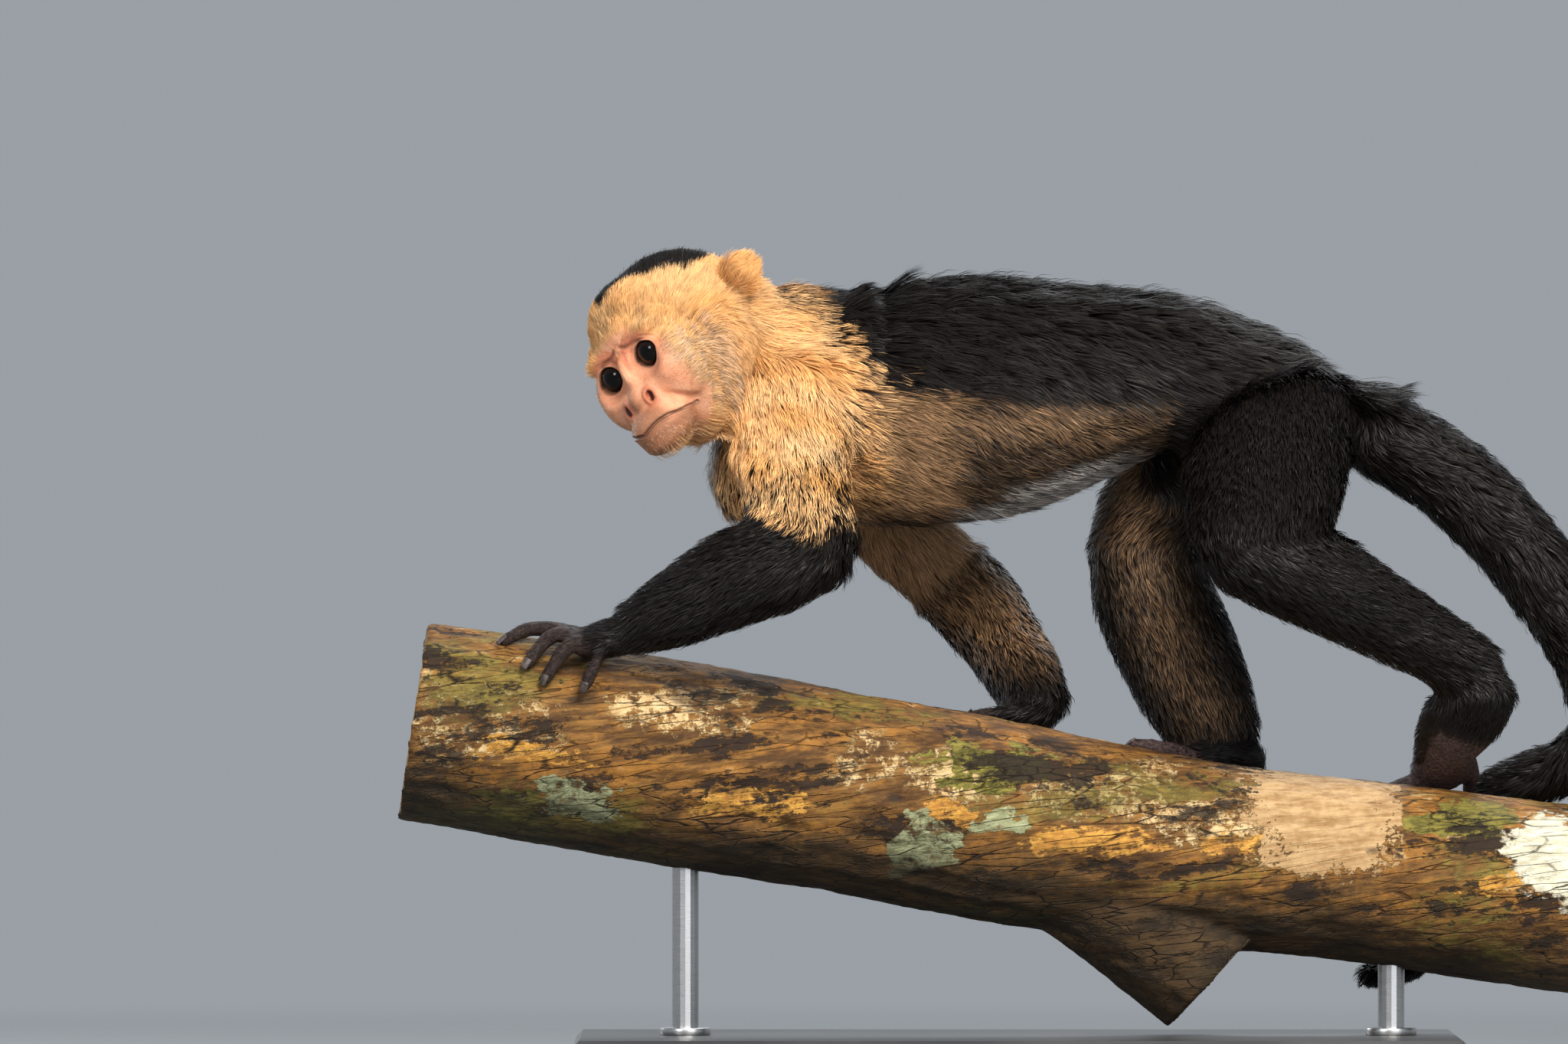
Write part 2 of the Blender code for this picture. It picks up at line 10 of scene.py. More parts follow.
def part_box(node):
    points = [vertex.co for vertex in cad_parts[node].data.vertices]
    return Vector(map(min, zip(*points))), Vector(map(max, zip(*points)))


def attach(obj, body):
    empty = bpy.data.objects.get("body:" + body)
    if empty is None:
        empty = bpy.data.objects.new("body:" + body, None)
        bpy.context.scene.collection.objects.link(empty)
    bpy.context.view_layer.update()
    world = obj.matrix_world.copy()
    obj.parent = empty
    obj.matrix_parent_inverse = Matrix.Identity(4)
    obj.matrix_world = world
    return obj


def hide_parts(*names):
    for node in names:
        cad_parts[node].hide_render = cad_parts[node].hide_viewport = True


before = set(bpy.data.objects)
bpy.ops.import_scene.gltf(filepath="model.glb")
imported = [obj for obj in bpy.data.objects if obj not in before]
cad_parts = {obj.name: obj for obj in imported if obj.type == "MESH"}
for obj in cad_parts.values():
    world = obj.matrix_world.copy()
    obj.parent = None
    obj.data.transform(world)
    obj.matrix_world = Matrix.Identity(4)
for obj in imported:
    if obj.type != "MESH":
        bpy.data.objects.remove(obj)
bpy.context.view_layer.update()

# ---- Camera --------------------------------------------------------------------------------------
# A long lens, level with the branch and square to it, so that the near flank fills the frame.

VIEW_WIDTH = 0.70656
VIEW_MIDDLE = (-0.10557, 0.25512)
VIEW_DISTANCE = 9.0

bpy.ops.object.camera_add(
    location=(VIEW_MIDDLE[0], -VIEW_DISTANCE, VIEW_MIDDLE[1]), rotation=(math.radians(90), 0, 0)
)
camera = bpy.context.object
camera.data.lens = camera.data.sensor_width * VIEW_DISTANCE / VIEW_WIDTH
bpy.context.scene.camera = camera

# ---- Stand base ----------------------------------------------------------------------------------
# A flat board with a chamfered rim, sprayed in satin charcoal. It is drilled for the two rods.


class Wire:
    """A shader node's output that sums can be written with. Numbers alone are worked out in Python."""

    def __init__(self, tree, socket):
        self.tree, self.socket = tree, socket

    def make(self, kind, settings, sockets, output=0):
        node = self.tree.nodes.new("ShaderNode" + kind)
        for key, value in settings.items():
            if key == "stops":
                while len(node.color_ramp.elements) < len(value):
                    node.color_ramp.elements.new(1.0)
                for element, (place, colour) in zip(node.color_ramp.elements, value):
                    element.position, element.color = place, (*colour, 1.0)
            else:
                setattr(node, key, value)
        for key, value in sockets.items():
            if isinstance(value, Wire):
                self.tree.links.new(value.socket, node.inputs[key])
            else:
                node.inputs[key].default_value = value
        return Wire(self.tree, node.outputs[output])

    def math(self, operation, *values):
        return self.make("Math", {"operation": operation}, dict(enumerate(values)))

    def __add__(self, other):
        return self.math("ADD", self, other)

    __radd__ = __add__

    def __sub__(self, other):
        return self.math("SUBTRACT", self, other)

    def __rsub__(self, other):
        return self.math("SUBTRACT", other, self)

    def __mul__(self, other):
        return self.math("MULTIPLY", self, other)

    __rmul__ = __mul__

    def rise(self, low, high):
        """0 below `low`, 1 above `high`, and smooth between."""
        sockets = {"Value": self, "From Min": low, "From Max": high}
        return self.make("MapRange", {"interpolation_type": "SMOOTHSTEP"}, sockets)

    def blend(self, start, stop):
        """From one colour to another as the value goes from 0 to 1."""
        colours = [(*c, 1.0) if isinstance(c, tuple) else c for c in (start, stop)]
        return self.make("Mix", {"data_type": "RGBA"}, {0: self, 6: colours[0], 7: colours[1]}, output=2)

    def stretched(self, x, y, z):
        return self.make("Mapping", {}, {"Vector": self, "Scale": (x, y, z)})

    def clouds(self, scale, detail=3.0, rough=0.55):
        sockets = {"Vector": self, "Scale": scale, "Detail": detail, "Roughness": rough}
        return self.make("TexNoise", {}, sockets)

    def cells(self, scale):
        """The distance to the nearest edge between cells."""
        return self.make("TexVoronoi", {"feature": "DISTANCE_TO_EDGE"}, {"Vector": self, "Scale": scale})

    def part(self, index):
        return self.make("SeparateXYZ", {}, {0: self}, output=index)

    def kept(self, name):
        """A number kept at every vertex under this name."""
        return self.make("Attribute", {"attribute_name": name}, {}, output=2)


def new_finish(name, roughness, **constants):
    """A material, its Principled shader and the piece's own coordinates."""
    finish = bpy.data.materials.new(name)
    finish.use_nodes = True
    shader = finish.node_tree.nodes["Principled BSDF"]
    shader.inputs["Roughness"].default_value = roughness
    for key, value in constants.items():
        shader.inputs[key.replace("_", " ")].default_value = value
    start = Wire(finish.node_tree, None)
    place = start.make("TexCoord", {}, {}, output=3)
    return finish, shader, place


def wire_in(shader, **values):
    for key, value in values.items():
        value.tree.links.new(value.socket, shader.inputs[key.replace("_", " ")])


def raised(height, strength, distance, below=None):
    """A bump from a height, over another one if that is given."""
    sockets = {"Height": height, "Strength": strength, "Distance": distance}
    if below is not None:
        sockets["Normal"] = below
    return height.make("Bump", {}, sockets)


def dress(obj, finish):
    obj.data.materials.clear()
    obj.data.materials.append(finish)


BASE_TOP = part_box("stand_base")[1].z
PAINT, PAINT_WORN = (0.035, 0.036, 0.040), (0.075, 0.076, 0.080)

paint, shader, place = new_finish("satin_paint", 0.38, Coat_Weight=0.15, Coat_Roughness=0.25)
mottle = place.clouds(9.0, 5.0)
wire_in(
    shader,
    Base_Color=mottle.rise(0.35, 0.8).blend(PAINT, PAINT_WORN),
    Roughness=mottle * 0.16 + 0.3,
    Normal=raised(place.clouds(700.0, 2.0), 0.12, 0.0006),
)
dress(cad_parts["stand_base"], paint)

# ---- Stand rods ----------------------------------------------------------------------------------
# Two turned steel rods, pressed into the board and up into the branch. A thin collar hides each hole.

steel, shader, place = new_finish("brushed_steel", 0.3, Metallic=1.0)
brushing = place.stretched(1.0, 1.0, 18.0).clouds(160.0, 4.0)
wire_in(
    shader,
    Base_Color=brushing.blend((0.42, 0.42, 0.43), (0.66, 0.65, 0.64)),
    Roughness=brushing * 0.22 + 0.2,
    Normal=raised(brushing, 0.15, 0.0003),
)

COLLAR_RADIUS, COLLAR_HEIGHT, COLLAR_CHAMFER = 0.0115, 0.0034, 0.0007
COLLAR_PLAY = 0.0002  # between the collar's bore and the rod


def activate(obj):
    bpy.ops.object.select_all(action="DESELECT")
    obj.select_set(True)
    bpy.context.view_layer.objects.active = obj


def apply_modifier(obj, kind, **settings):
    activate(obj)
    modifier = obj.modifiers.new(kind.title(), kind)
    for key, value in settings.items():
        setattr(modifier, key, value)
    bpy.ops.object.modifier_apply(modifier=modifier.name)


def select_faces(obj, chosen):
    """Enters edit mode with only the chosen faces selected."""
    activate(obj)
    bpy.ops.object.mode_set(mode="EDIT")
    bpy.ops.mesh.select_mode(type="FACE")
    bpy.ops.mesh.select_all(action="DESELECT")
    bpy.ops.object.mode_set(mode="OBJECT")
    obj.data.polygons.foreach_set("select", np.asarray(chosen, bool))
    bpy.ops.object.mode_set(mode="EDIT")


for rod_name in ("stand_rod_front", "stand_rod_back"):
    dress(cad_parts[rod_name], steel)
    low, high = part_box(rod_name)
    middle = (low + high) / 2
    bpy.ops.object.select_all(action="DESELECT")
    bpy.ops.mesh.primitive_cylinder_add(
        vertices=64, radius=COLLAR_RADIUS, depth=COLLAR_HEIGHT,
        location=(middle.x, middle.y, BASE_TOP + COLLAR_HEIGHT / 2),
    )
    collar = bpy.context.object
    collar.name = rod_name.replace("rod", "collar")
    bpy.ops.object.transform_apply(location=True)
    caps = [abs(face.normal.z) > 0.9 for face in collar.data.polygons]
    select_faces(collar, caps)
    bpy.ops.mesh.inset(thickness=COLLAR_RADIUS - (high.x - low.x) / 2 - COLLAR_PLAY)
    bpy.ops.mesh.bridge_edge_loops()
    bpy.ops.object.mode_set(mode="OBJECT")
    apply_modifier(collar, "BEVEL", width=COLLAR_CHAMFER, segments=2)
    bpy.ops.object.shade_smooth_by_angle(angle=math.radians(35))
    dress(collar, steel)
    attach(collar, "root")

# ---- Branch --------------------------------------------------------------------------------------
# A cut length of a rough tropical limb with a lower fork, both sawn off square. The bark is thin and
# flaking, cracked along the grain, and blotched with moss and with crusts of pale and orange lichen.

BRANCH_VOXEL = 0.0017
GRAIN_SLOPE = -0.148  # the limb falls this much for each metre towards its thin end
AXIS_HEIGHT = 0.1235  # of the limb's middle, in the middle of the stand
FORK_DIRECTION = Vector((0.74, 0.0, -0.67))
SAWN_FLATNESS = 0.93  # how squarely a face looks along the wood to count as sawn
SAWN_DEPTH, FORK_LOW = 0.012, 0.085  # how near an end, or how low on the fork, a sawn face lies
BARK_RELIEF = 0.0011
RIDGE_FINENESS, FLAKE_FINENESS = (26, 75), 210  # of the ridges along and across the wood, and of the flakes
CLOSING = 0.0004  # how far touching pieces grow into one another before they are remeshed


def joined_up(pieces, name):
    """Several objects made into one."""
    bpy.ops.object.select_all(action="DESELECT")
    for piece in pieces:
        piece.select_set(True)
    bpy.context.view_layer.objects.active = pieces[0]
    bpy.ops.object.join()
    whole = bpy.context.object
    whole.name = name
    return whole


def merged_copy(names, new_name):
    """One object of copies of some nodes, each node's triangles joined up."""
    copies = []
    for name in names:
        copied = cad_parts[name].copy()
        copied.data = copied.data.copy()
        bpy.context.collection.objects.link(copied)
        copies.append(copied)
    whole = joined_up(copies, new_name)
    activate(whole)
    bpy.ops.object.mode_set(mode="EDIT")
    bpy.ops.mesh.select_all(action="SELECT")
    bpy.ops.mesh.remove_doubles(threshold=1e-6)
    bpy.ops.object.mode_set(mode="OBJECT")
    return whole


def remeshed(obj, voxel):
    """Closes the gaps between the pieces of an object and gives it one even mesh."""
    apply_modifier(obj, "DISPLACE", strength=CLOSING, mid_level=0.0)
    apply_modifier(obj, "REMESH", mode="VOXEL", voxel_size=voxel)


def read(items, key, each=3, kind=float):
    """What a mesh's vertices, edges or faces hold under a key, as rows of `each` numbers."""
    values = np.empty(len(items) * each, kind)
    items.foreach_get(key, values)
    return values.reshape(-1, each)


def corners(mesh):
    return read(mesh.vertices, "co")


def outward_of(mesh):
    return read(mesh.vertex_normals, "vector")


def move_corners(mesh, places):
    mesh.vertices.foreach_set("co", np.ascontiguousarray(places, np.float32).ravel())
    mesh.update()


def store(mesh, name, kind, values):
    """A value, or four, kept at every vertex."""
    attribute = mesh.attributes.new(name, kind, "POINT")
    key = "color" if "COLOR" in kind else "value"
    attribute.data.foreach_set(key, np.asarray(values, np.float32).ravel())


def smoothstep(value, low, high):
    t = np.clip((value - low) / (high - low), 0.0, 1.0)
    return t * t * (3 - 2 * t)


branch = merged_copy(("perch_branch", "perch_fork"), "branch")
remeshed(branch, BRANCH_VOXEL)
apply_modifier(branch, "SMOOTH", factor=0.5, iterations=3)
bpy.ops.object.shade_smooth()

places, outward = corners(branch.data), outward_of(branch.data)
ends = np.abs(outward @ np.array((1.0, 0.0, GRAIN_SLOPE)) / math.hypot(1.0, GRAIN_SLOPE))
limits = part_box("perch_branch")
near_end = (places[:, 0] < limits[0].x + SAWN_DEPTH) | (places[:, 0] > limits[1].x - SAWN_DEPTH)
sawn = smoothstep(ends, SAWN_FLATNESS - 0.1, SAWN_FLATNESS) * near_end
fork_end = outward @ np.array(FORK_DIRECTION)
sawn = np.maximum(sawn, smoothstep(fork_end, SAWN_FLATNESS - 0.1, SAWN_FLATNESS) * (places[:, 2] < FORK_LOW))
relief = np.empty(len(places))
for index, (x, y, z) in enumerate(places):
    along = Vector((x * RIDGE_FINENESS[0], y * RIDGE_FINENESS[1], (z - GRAIN_SLOPE * x) * RIDGE_FINENESS[1]))
    coarse = noise.fractal(along * 0.35, 0.9, 2.1, 3)
    ridges = 1 - abs(noise.fractal(along + Vector((7.1, 3.3, 1.7)), 0.8, 2.2, 3)) * 2.2
    flakes = noise.noise(Vector((x, y, z)) * FLAKE_FINENESS)
    relief[index] = coarse * 0.9 + ridges * 0.55 + flakes * 0.25
relief = np.clip(relief + 0.1, -0.7, 1.3) * (1 - sawn)
move_corners(branch.data, places + outward * (relief * BARK_RELIEF)[:, None])
store(branch.data, "sawn", "FLOAT", sawn)
store(branch.data, "relief", "FLOAT", relief)

# Blotches: centre, radius along and across the wood, raggedness.
CREAM_FLAKES = [
    ((-0.245, 0.165), (0.045, 0.020), 0.9), ((-0.150, 0.170), (0.040, 0.014), 0.9),
    ((-0.062, 0.150), (0.020, 0.012), 0.9), ((-0.030, 0.142), (0.030, 0.013), 0.9),
    ((0.030, 0.132), (0.028, 0.011), 0.9), ((0.058, 0.137), (0.036, 0.009), 0.8),
    ((0.085, 0.121), (0.025, 0.014), 0.9),
]
SMOOTH_PATCH = ((0.139, 0.126), (0.038, 0.028))
GREY_LICHEN = [
    ((-0.045, 0.111), (0.0135, 0.0125), 0.35), ((-0.008, 0.121), (0.015, 0.006), 0.8),
    ((-0.200, 0.130), (0.018, 0.010), 0.6),
]
ORANGE_LICHEN = [
    ((0.034, 0.112), (0.030, 0.0075), 0.7), ((-0.031, 0.126), (0.011, 0.006), 0.5),
    ((0.094, 0.109), (0.015, 0.005), 0.6), ((0.212, 0.094), (0.011, 0.007), 0.5),
    ((-0.122, 0.128), (0.030, 0.008), 0.8), ((-0.215, 0.150), (0.022, 0.007), 0.7),
]
WHITE_LICHEN = [((0.252, 0.103), (0.034, 0.020), 0.3)]
MOSS = [
    ((0.200, 0.122), (0.026, 0.009), 0.7), ((-0.010, 0.145), (0.030, 0.008), 0.8),
    ((-0.240, 0.120), (0.030, 0.014), 0.8), ((-0.013, 0.075), (0.030, 0.010), 0.9),
]

bark, shader, place = new_finish("bark", 0.8, Specular_IOR_Level=0.3)
straight = place.make("Mapping", {}, {"Vector": place, "Rotation": (0, -math.atan(GRAIN_SLOPE), 0)})
grained = straight.stretched(0.32, 1.0, 1.0)
sawn_here = place.kept("sawn")
ragged = place.clouds(240.0, 5.0, 0.7) - 0.5
swirl_sockets = {"Vector": place.stretched(0.6, 1, 1), "Scale": 55.0, "Detail": 4.0, "Roughness": 0.6}
swirl = place.make("TexNoise", {}, swirl_sockets, output=1)
swirl = place.make("VectorMath", {"operation": "SUBTRACT"}, {0: swirl, 1: (0.5, 0.5, 0.5)})
warped = place.make("VectorMath", {"operation": "MULTIPLY_ADD"}, {0: swirl, 1: (0.060, 0.0, 0.034), 2: place})
ragged_grain = grained.clouds(170.0, 5.0, 0.7) - 0.5


def blotch(centre, radii, rough):
    """1 inside a ragged patch on the near side, 0 outside."""
    across = (warped.part(0) - centre[0]) * (1 / radii[0])
    up = (warped.part(2) - centre[1]) * (1 / radii[1])
    distance = across * across + up * up
    distance = distance.math("SQRT", distance)
    near = place.part(1).rise(0.004, -0.004)
    return (distance + ragged * (2.2 * rough) + ragged_grain * (1.6 * rough)).rise(1.06, 0.94) * near


def laid_over(below, mask, pattern, low, high, dark, light):
    """A colour with a patterned one laid over it where the mask says."""
    return mask.blend(below, pattern.rise(low, high).blend(dark, light))


def blotches(rows):
    """Any of several blotches."""
    total = blotch(*rows[0])
    for row in rows[1:]:
        total = total.math("MAXIMUM", total, blotch(*row))
    return total


broad = grained.clouds(26.0, 4.0, 0.6)
patchy = grained.clouds(85.0, 6.0, 0.68)
fine = grained.clouds(420.0, 5.0, 0.7)
streaks = straight.stretched(0.12, 1.0, 1.0).clouds(330.0, 5.0, 0.65)
cracks = grained.stretched(0.30, 1, 1).cells(230.0)
cracks = (cracks + ragged_grain * 0.22).rise(0.06, 0.0) * patchy.rise(0.42, 0.60)
height = place.kept("relief")
up = place.part(2) - place.part(0) * GRAIN_SLOPE  # level with the axis at about 0.125

colour = patchy.rise(0.36, 0.64).blend((0.085, 0.044, 0.018), (0.34, 0.19, 0.075))
colour = (streaks.rise(0.45, 0.7) * 0.7).blend(colour, (0.53, 0.32, 0.12))
colour = ((patchy - broad * 0.4 + ragged * 0.4).rise(0.30, 0.44) * 0.7).blend(colour, (0.54, 0.28, 0.065))
colour = place.make("VectorMath", {"operation": "MULTIPLY"}, {0: colour, 1: (0.64, 0.51, 0.28)})
cream = (patchy + ragged * 0.5).rise(0.60, 0.70) * (up.rise(0.105, 0.15) * 0.7 + 0.06)
cream = cream.math("MAXIMUM", cream, blotches(CREAM_FLAKES) * (patchy + ragged * 1.3).rise(0.46, 0.60))
colour = laid_over(colour, cream, fine, 0.3, 0.7, (0.46, 0.29, 0.11), (0.74, 0.54, 0.29))
mossy = (broad + ragged * 0.35).rise(0.54, 0.65) * 0.65
mossy = mossy.math("MAXIMUM", mossy, blotches(MOSS))
colour = laid_over(colour, mossy, fine, 0.35, 0.65, (0.080, 0.070, 0.012), (0.24, 0.20, 0.035))
smooth_here = blotch(*SMOOTH_PATCH, 0.7) * (place.part(0) + ragged * 0.006).rise(0.1730, 0.1715)
ragged_streaks = streaks + ragged * 0.5
colour = laid_over(colour, smooth_here, ragged_streaks, 0.3, 0.7, (0.30, 0.165, 0.062), (0.54, 0.36, 0.18))
dark = (grained.clouds(48.0, 6.0, 0.7) + ragged * 0.3).rise(0.530, 0.585) * (1 - smooth_here)
colour = (dark * 0.93).blend(colour, (0.018, 0.011, 0.008))
grey = blotches(GREY_LICHEN)
grey_here = grey * (patchy + ragged).rise(0.25, 0.5)
colour = laid_over(colour, grey_here, fine, 0.3, 0.75, (0.20, 0.21, 0.10), (0.44, 0.46, 0.27))
orange_here = blotches(ORANGE_LICHEN) * (streaks + ragged * 0.6).rise(0.38, 0.54)
colour = laid_over(colour, orange_here, fine, 0.3, 0.7, (0.40, 0.17, 0.03), (0.72, 0.38, 0.07))
white = blotches(WHITE_LICHEN)
colour = laid_over(colour, white, fine, 0.3, 0.7, (0.50, 0.46, 0.33), (0.80, 0.76, 0.60))
# Painted shade: the bark is darkened below the limb's axis, towards its underside, where shade falls.
shade = (up + ragged * 0.03 + (broad - 0.5) * 0.06).rise(0.118, 0.086) * 0.88
colour = laid_over(colour, shade, patchy, 0.3, 0.7, (0.010, 0.008, 0.005), (0.050, 0.034, 0.018))
# Painted shade in the cracks: they are laid on nearly black, outside the smooth patch.
colour = (cracks * (1 - smooth_here)).blend(colour, (0.010, 0.006, 0.004))
# Painted shade in the hollows: the bark is darkened where its relief sinks lowest.
colour = (height.rise(-0.15, -0.6) * 0.6).blend(colour, (0.016, 0.010, 0.007))

above_axis = place.part(2) - (place.part(0) * GRAIN_SLOPE + AXIS_HEIGHT)
from_axis = above_axis * above_axis + place.part(1) * place.part(1)
rings = (from_axis.math("SQRT", from_axis) + (place.clouds(30.0) - 0.5) * 0.004) * 1500.0
rings = rings.math("SINE", rings)
timber = (rings * 0.5 + 0.5 + (fine - 0.5)).blend((0.46, 0.29, 0.14), (0.64, 0.45, 0.25))
colour = sawn_here.blend(colour, timber)

relief_map = patchy * 0.8 + streaks * 0.5 + fine * 0.35 - cracks * 0.9
relief_map = relief_map + cream * 0.35 + (white + grey) * 0.25 - dark * 0.3
relief_map = relief_map * (1 - smooth_here * 0.7) * (1 - sawn_here * 0.8)
wire_in(
    shader,
    Base_Color=colour,
    Roughness=shade * 0.1 + dark * 0.1 + 0.72,
    Normal=raised(relief_map, 0.85, 0.0016),
)
dress(branch, bark)
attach(branch, "root")
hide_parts("perch_branch", "perch_fork")

# ---- Skin ----------------------------------------------------------------------------------------
# One hide over the whole animal, drawn in by the depth of the coat. Face, palms and soles are nearly
# bare: the face is pink and finely creased, hands and feet are dark and wrinkled.

MM = 0.001
SKIN_VOXEL = 0.0015
BODY_KEPT = 0.30  # share of the triangles kept under the long coat

# The head's own axes: x forward, y to its left, z up, from the midpoint of the eyeballs.
EYES_MIDDLE, HEAD_TURNS = (-171.0, -50.0, 327.0), (29.0, 20.5, 234.0)
HEAD = Matrix.Translation(EYES_MIDDLE) @ Euler([math.radians(a) for a in HEAD_TURNS]).to_matrix().to_4x4()
HEAD_BACK, HEAD_THERE = np.array(HEAD.inverted()), np.array(HEAD)
EYE_PLACE = 13.0  # of each eyeball's centre from the middle
LID_RADIUS = 9.15
LID_OPENING = (6.7, 5.75)  # half width and half height

# Per kind of node: depth of the coat, length of its hairs, how many to a square millimetre, their width.
COAT = {
    "head": (3.8, 8.0, 5.6, 0.21), "ear": (1.3, 6.5, 5.5, 0.20), "neck": (6.0, 13.0, 3.6, 0.26),
    "trunk": (8.0, 19.0, 1.35, 0.44), "tail": (5.0, 12.0, 1.2, 0.46), "upper_arm": (5.0, 11.0, 1.6, 0.36),
    "forearm": (3.2, 9.0, 1.0, 0.44), "hand": (0.45, 3.0, 0.9, 0.24), "thigh": (4.2, 9.5, 0.92, 0.46),
    "shin": (3.0, 8.5, 0.98, 0.44), "foot": (0.5, 3.0, 0.9, 0.24),
}
LIE = {  # which way the hairs of each node point
    "neck": (1, 0.2, -0.35), "trunk_chest": (1, 0, -0.35),
    "trunk_belly": (1, 0, -0.45), "trunk_hips": (1, 0, -0.4),
    "upper_arm_left": (3, -28, -78), "forearm_left": (-84, 32, -60), "hand_left": (-1, 0.2, -0.1),
    "upper_arm_right": (50, 46, -77), "forearm_right": (44, -48, -61), "hand_right": (-1, 0.4, -0.4),
    "thigh_left": (-3, -59, -63), "shin_left": (107, 42, -55), "foot_left": (-23, 53, -41),
    "thigh_right": (-64, 33, -61), "shin_right": (36, -18, -88), "foot_right": (-1, 0.1, -0.1),
    "tail_1": (67, 1, -42), "tail_2": (53, 4, -71), "tail_3": (-5, 12, -60),
    "tail_4": (-40, 30, -25), "tail_5": (-30, -30, -60),
}
FACE_FRONT = (18.0, 0.0, -14.0)  # the hairs of the head point away from here
FACE_MIDDLE = (9.0, 0, -14.0)  # of the part that is sculpted
EVEN_OUT = (0.5, -0.52)  # a pass that smooths and one that gives the lost size back

flesh = sorted(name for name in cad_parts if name.split("_")[0] not in ("stand", "perch", "eye"))
skin = merged_copy(flesh + ["eye_left", "eye_right"], "skin")
remeshed(skin, SKIN_VOXEL)


def edge_pairs(mesh):
    return read(mesh.edges, "vertices", 2, np.int64)


def relaxed(values, pairs, passes, factors=(0.5,), weight=None):
    """Every value moved towards the mean of its neighbours', or away for a negative factor."""
    count = np.maximum(np.bincount(pairs.ravel(), minlength=len(values)), 1)[:, None]
    flat = np.array(values, float).reshape(len(values), -1)
    for _ in range(passes):
        for factor in factors:
            mean = np.empty_like(flat)
            for k in range(flat.shape[1]):
                mean[:, k] = np.bincount(pairs[:, 0], flat[pairs[:, 1], k], len(flat))
                mean[:, k] += np.bincount(pairs[:, 1], flat[pairs[:, 0], k], len(flat))
            step = (mean / count - flat) * factor
            flat += step if weight is None else step * weight[:, None]
    return flat.reshape(np.shape(values))


def in_head(places):
    """Places in metres, in the head's own axes and millimetres."""
    return (places / MM) @ HEAD_BACK[:3, :3].T + HEAD_BACK[:3, 3]


def from_head(places):
    return (places @ HEAD_THERE[:3, :3].T + HEAD_THERE[:3, 3]) * MM


def unit(vectors):
    return vectors / np.maximum(np.linalg.norm(vectors, axis=-1, keepdims=True), 1e-12)


def hump(value, width):
    """1 where the value is 0, and falling away on both sides of it."""
    return np.exp(-((value / width) ** 2))


def off_centre(places, centre, radii=1):
    """How far places lie from a centre, in radii."""
    return np.linalg.norm((places - np.array(centre)) / np.array(radii), axis=1)


def near_side(local):
    """The far side of the head laid over the near one."""
    return np.column_stack((local[:, 0], np.abs(local[:, 1]), local[:, 2]))


def level(vectors, normals):
    """The part of each vector that lies along the surface, made one long."""
    return unit(vectors - normals * np.sum(vectors * normals, axis=1, keepdims=True))


def bare_face(local):
    """Below 1 where the face is bare, above 1.2 where it is furred."""
    tall = np.where(local[:, 2] < -14, 27.0, 26.6)
    ahead, across, above = (local[:, 0] - 8) / 40, local[:, 1] / 23.4, (local[:, 2] + 14) / tall
    return np.sqrt(ahead**2 + across**2 + above**2)


def cap_of(local):
    """1 on the dark cap: pointed in front, down to the nape behind."""
    x, side, z = local[:, 0], np.abs(local[:, 1]), local[:, 2]
    front = (2.2 - 1.2 * side - x) * 0.64
    edge = 29.0 - 0.5 * np.maximum(0, -45 - x) - side
    low = z - (19.5 - 1.35 * np.maximum(0, -56 - x))
    return smoothstep(np.minimum(np.minimum(front, edge), low), -1.2, 1.6)


places = relaxed(corners(skin.data), edge_pairs(skin.data), 5, EVEN_OUT)
move_corners(skin.data, places)
outward = outward_of(skin.data)

cad_corners, cad_faces, cad_owner = [], [], []
for name in flesh:
    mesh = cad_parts[name].data
    start = len(cad_corners)
    cad_corners += [vertex.co.copy() for vertex in mesh.vertices]
    cad_faces += [[start + index for index in face.vertices] for face in mesh.polygons]
    cad_owner += [flesh.index(name)] * len(mesh.polygons)
cad_tree = BVHTree.FromPolygons(cad_corners, cad_faces)
owner = np.array([cad_owner[cad_tree.find_nearest(place)[2]] for place in places])

pairs = edge_pairs(skin.data)
kinds = [next(kind for kind in COAT if name.startswith(kind)) for name in flesh]
node_here, kind_here = np.array(flesh)[owner], np.array(kinds)[owner]
coat = np.array([COAT[kind] for kind in kinds])[owner]
local = in_head(places)
lie = unit(np.array([LIE.get(name, (0, 0, 0)) for name in flesh], float))[owner]
head_nodes = [index for index, name in enumerate(flesh) if name.startswith(("head", "ear"))]
on_head = np.isin(owner, head_nodes)
away = unit(local - np.array(FACE_FRONT)) @ HEAD_THERE[:3, :3].T
# Behind the cheek the hair hangs down.
hanging = smoothstep(local[:, 0], 2, -24) * smoothstep(local[:, 2], 8, -10)
hanging = hanging * smoothstep(np.abs(local[:, 1]), 8, 20)
away = away + hanging[:, None] * np.array((0.0, 0.0, -1.1))
lie[on_head] = away[on_head]

# The coat is deeper on the back and shallow on the brow, and long below.
is_trunk, is_head = kind_here == "trunk", node_here == "head"
saddle = smoothstep(places[:, 2] / MM, 300, 318) * is_trunk
below = smoothstep(-outward[:, 2], 0.3, 0.9) * is_trunk
coat[:, 0] += saddle * 1.2 - (1 - saddle) * is_trunk * 2.5 - below * 0.5
coat[:, 1] += saddle * 4.0 - (1 - saddle) * is_trunk * 4.5 + below * 1.0
coat[:, 2] += (1 - saddle) * is_trunk * 0.55
coat[:, 3] -= (1 - saddle) * is_trunk * 0.10
mantle_here = (places[:, 0] < -0.07) & is_trunk
coat[mantle_here] = (6.0, 13.0, 2.7, 0.28)
face = smoothstep(bare_face(local), 1.36, 1.16) * is_head
sparse = smoothstep(bare_face(local), 1.12, 0.96) * is_head
cap = cap_of(local) * is_head
forehead = smoothstep(local[:, 0], -22, -2) * smoothstep(local[:, 2], -4, 8) * is_head
coat[:, 0] += (-1.4 * forehead - 0.6 * cap) * is_head
coat[:, 1] += (-3.2 * forehead - 2.6 * cap) * is_head
coat[:, 0] = coat[:, 0] * (1 - face) + 0.5 * face
coat[:, 1] = coat[:, 1] * (1 - face) + (6.4 - 4.3 * sparse) * face
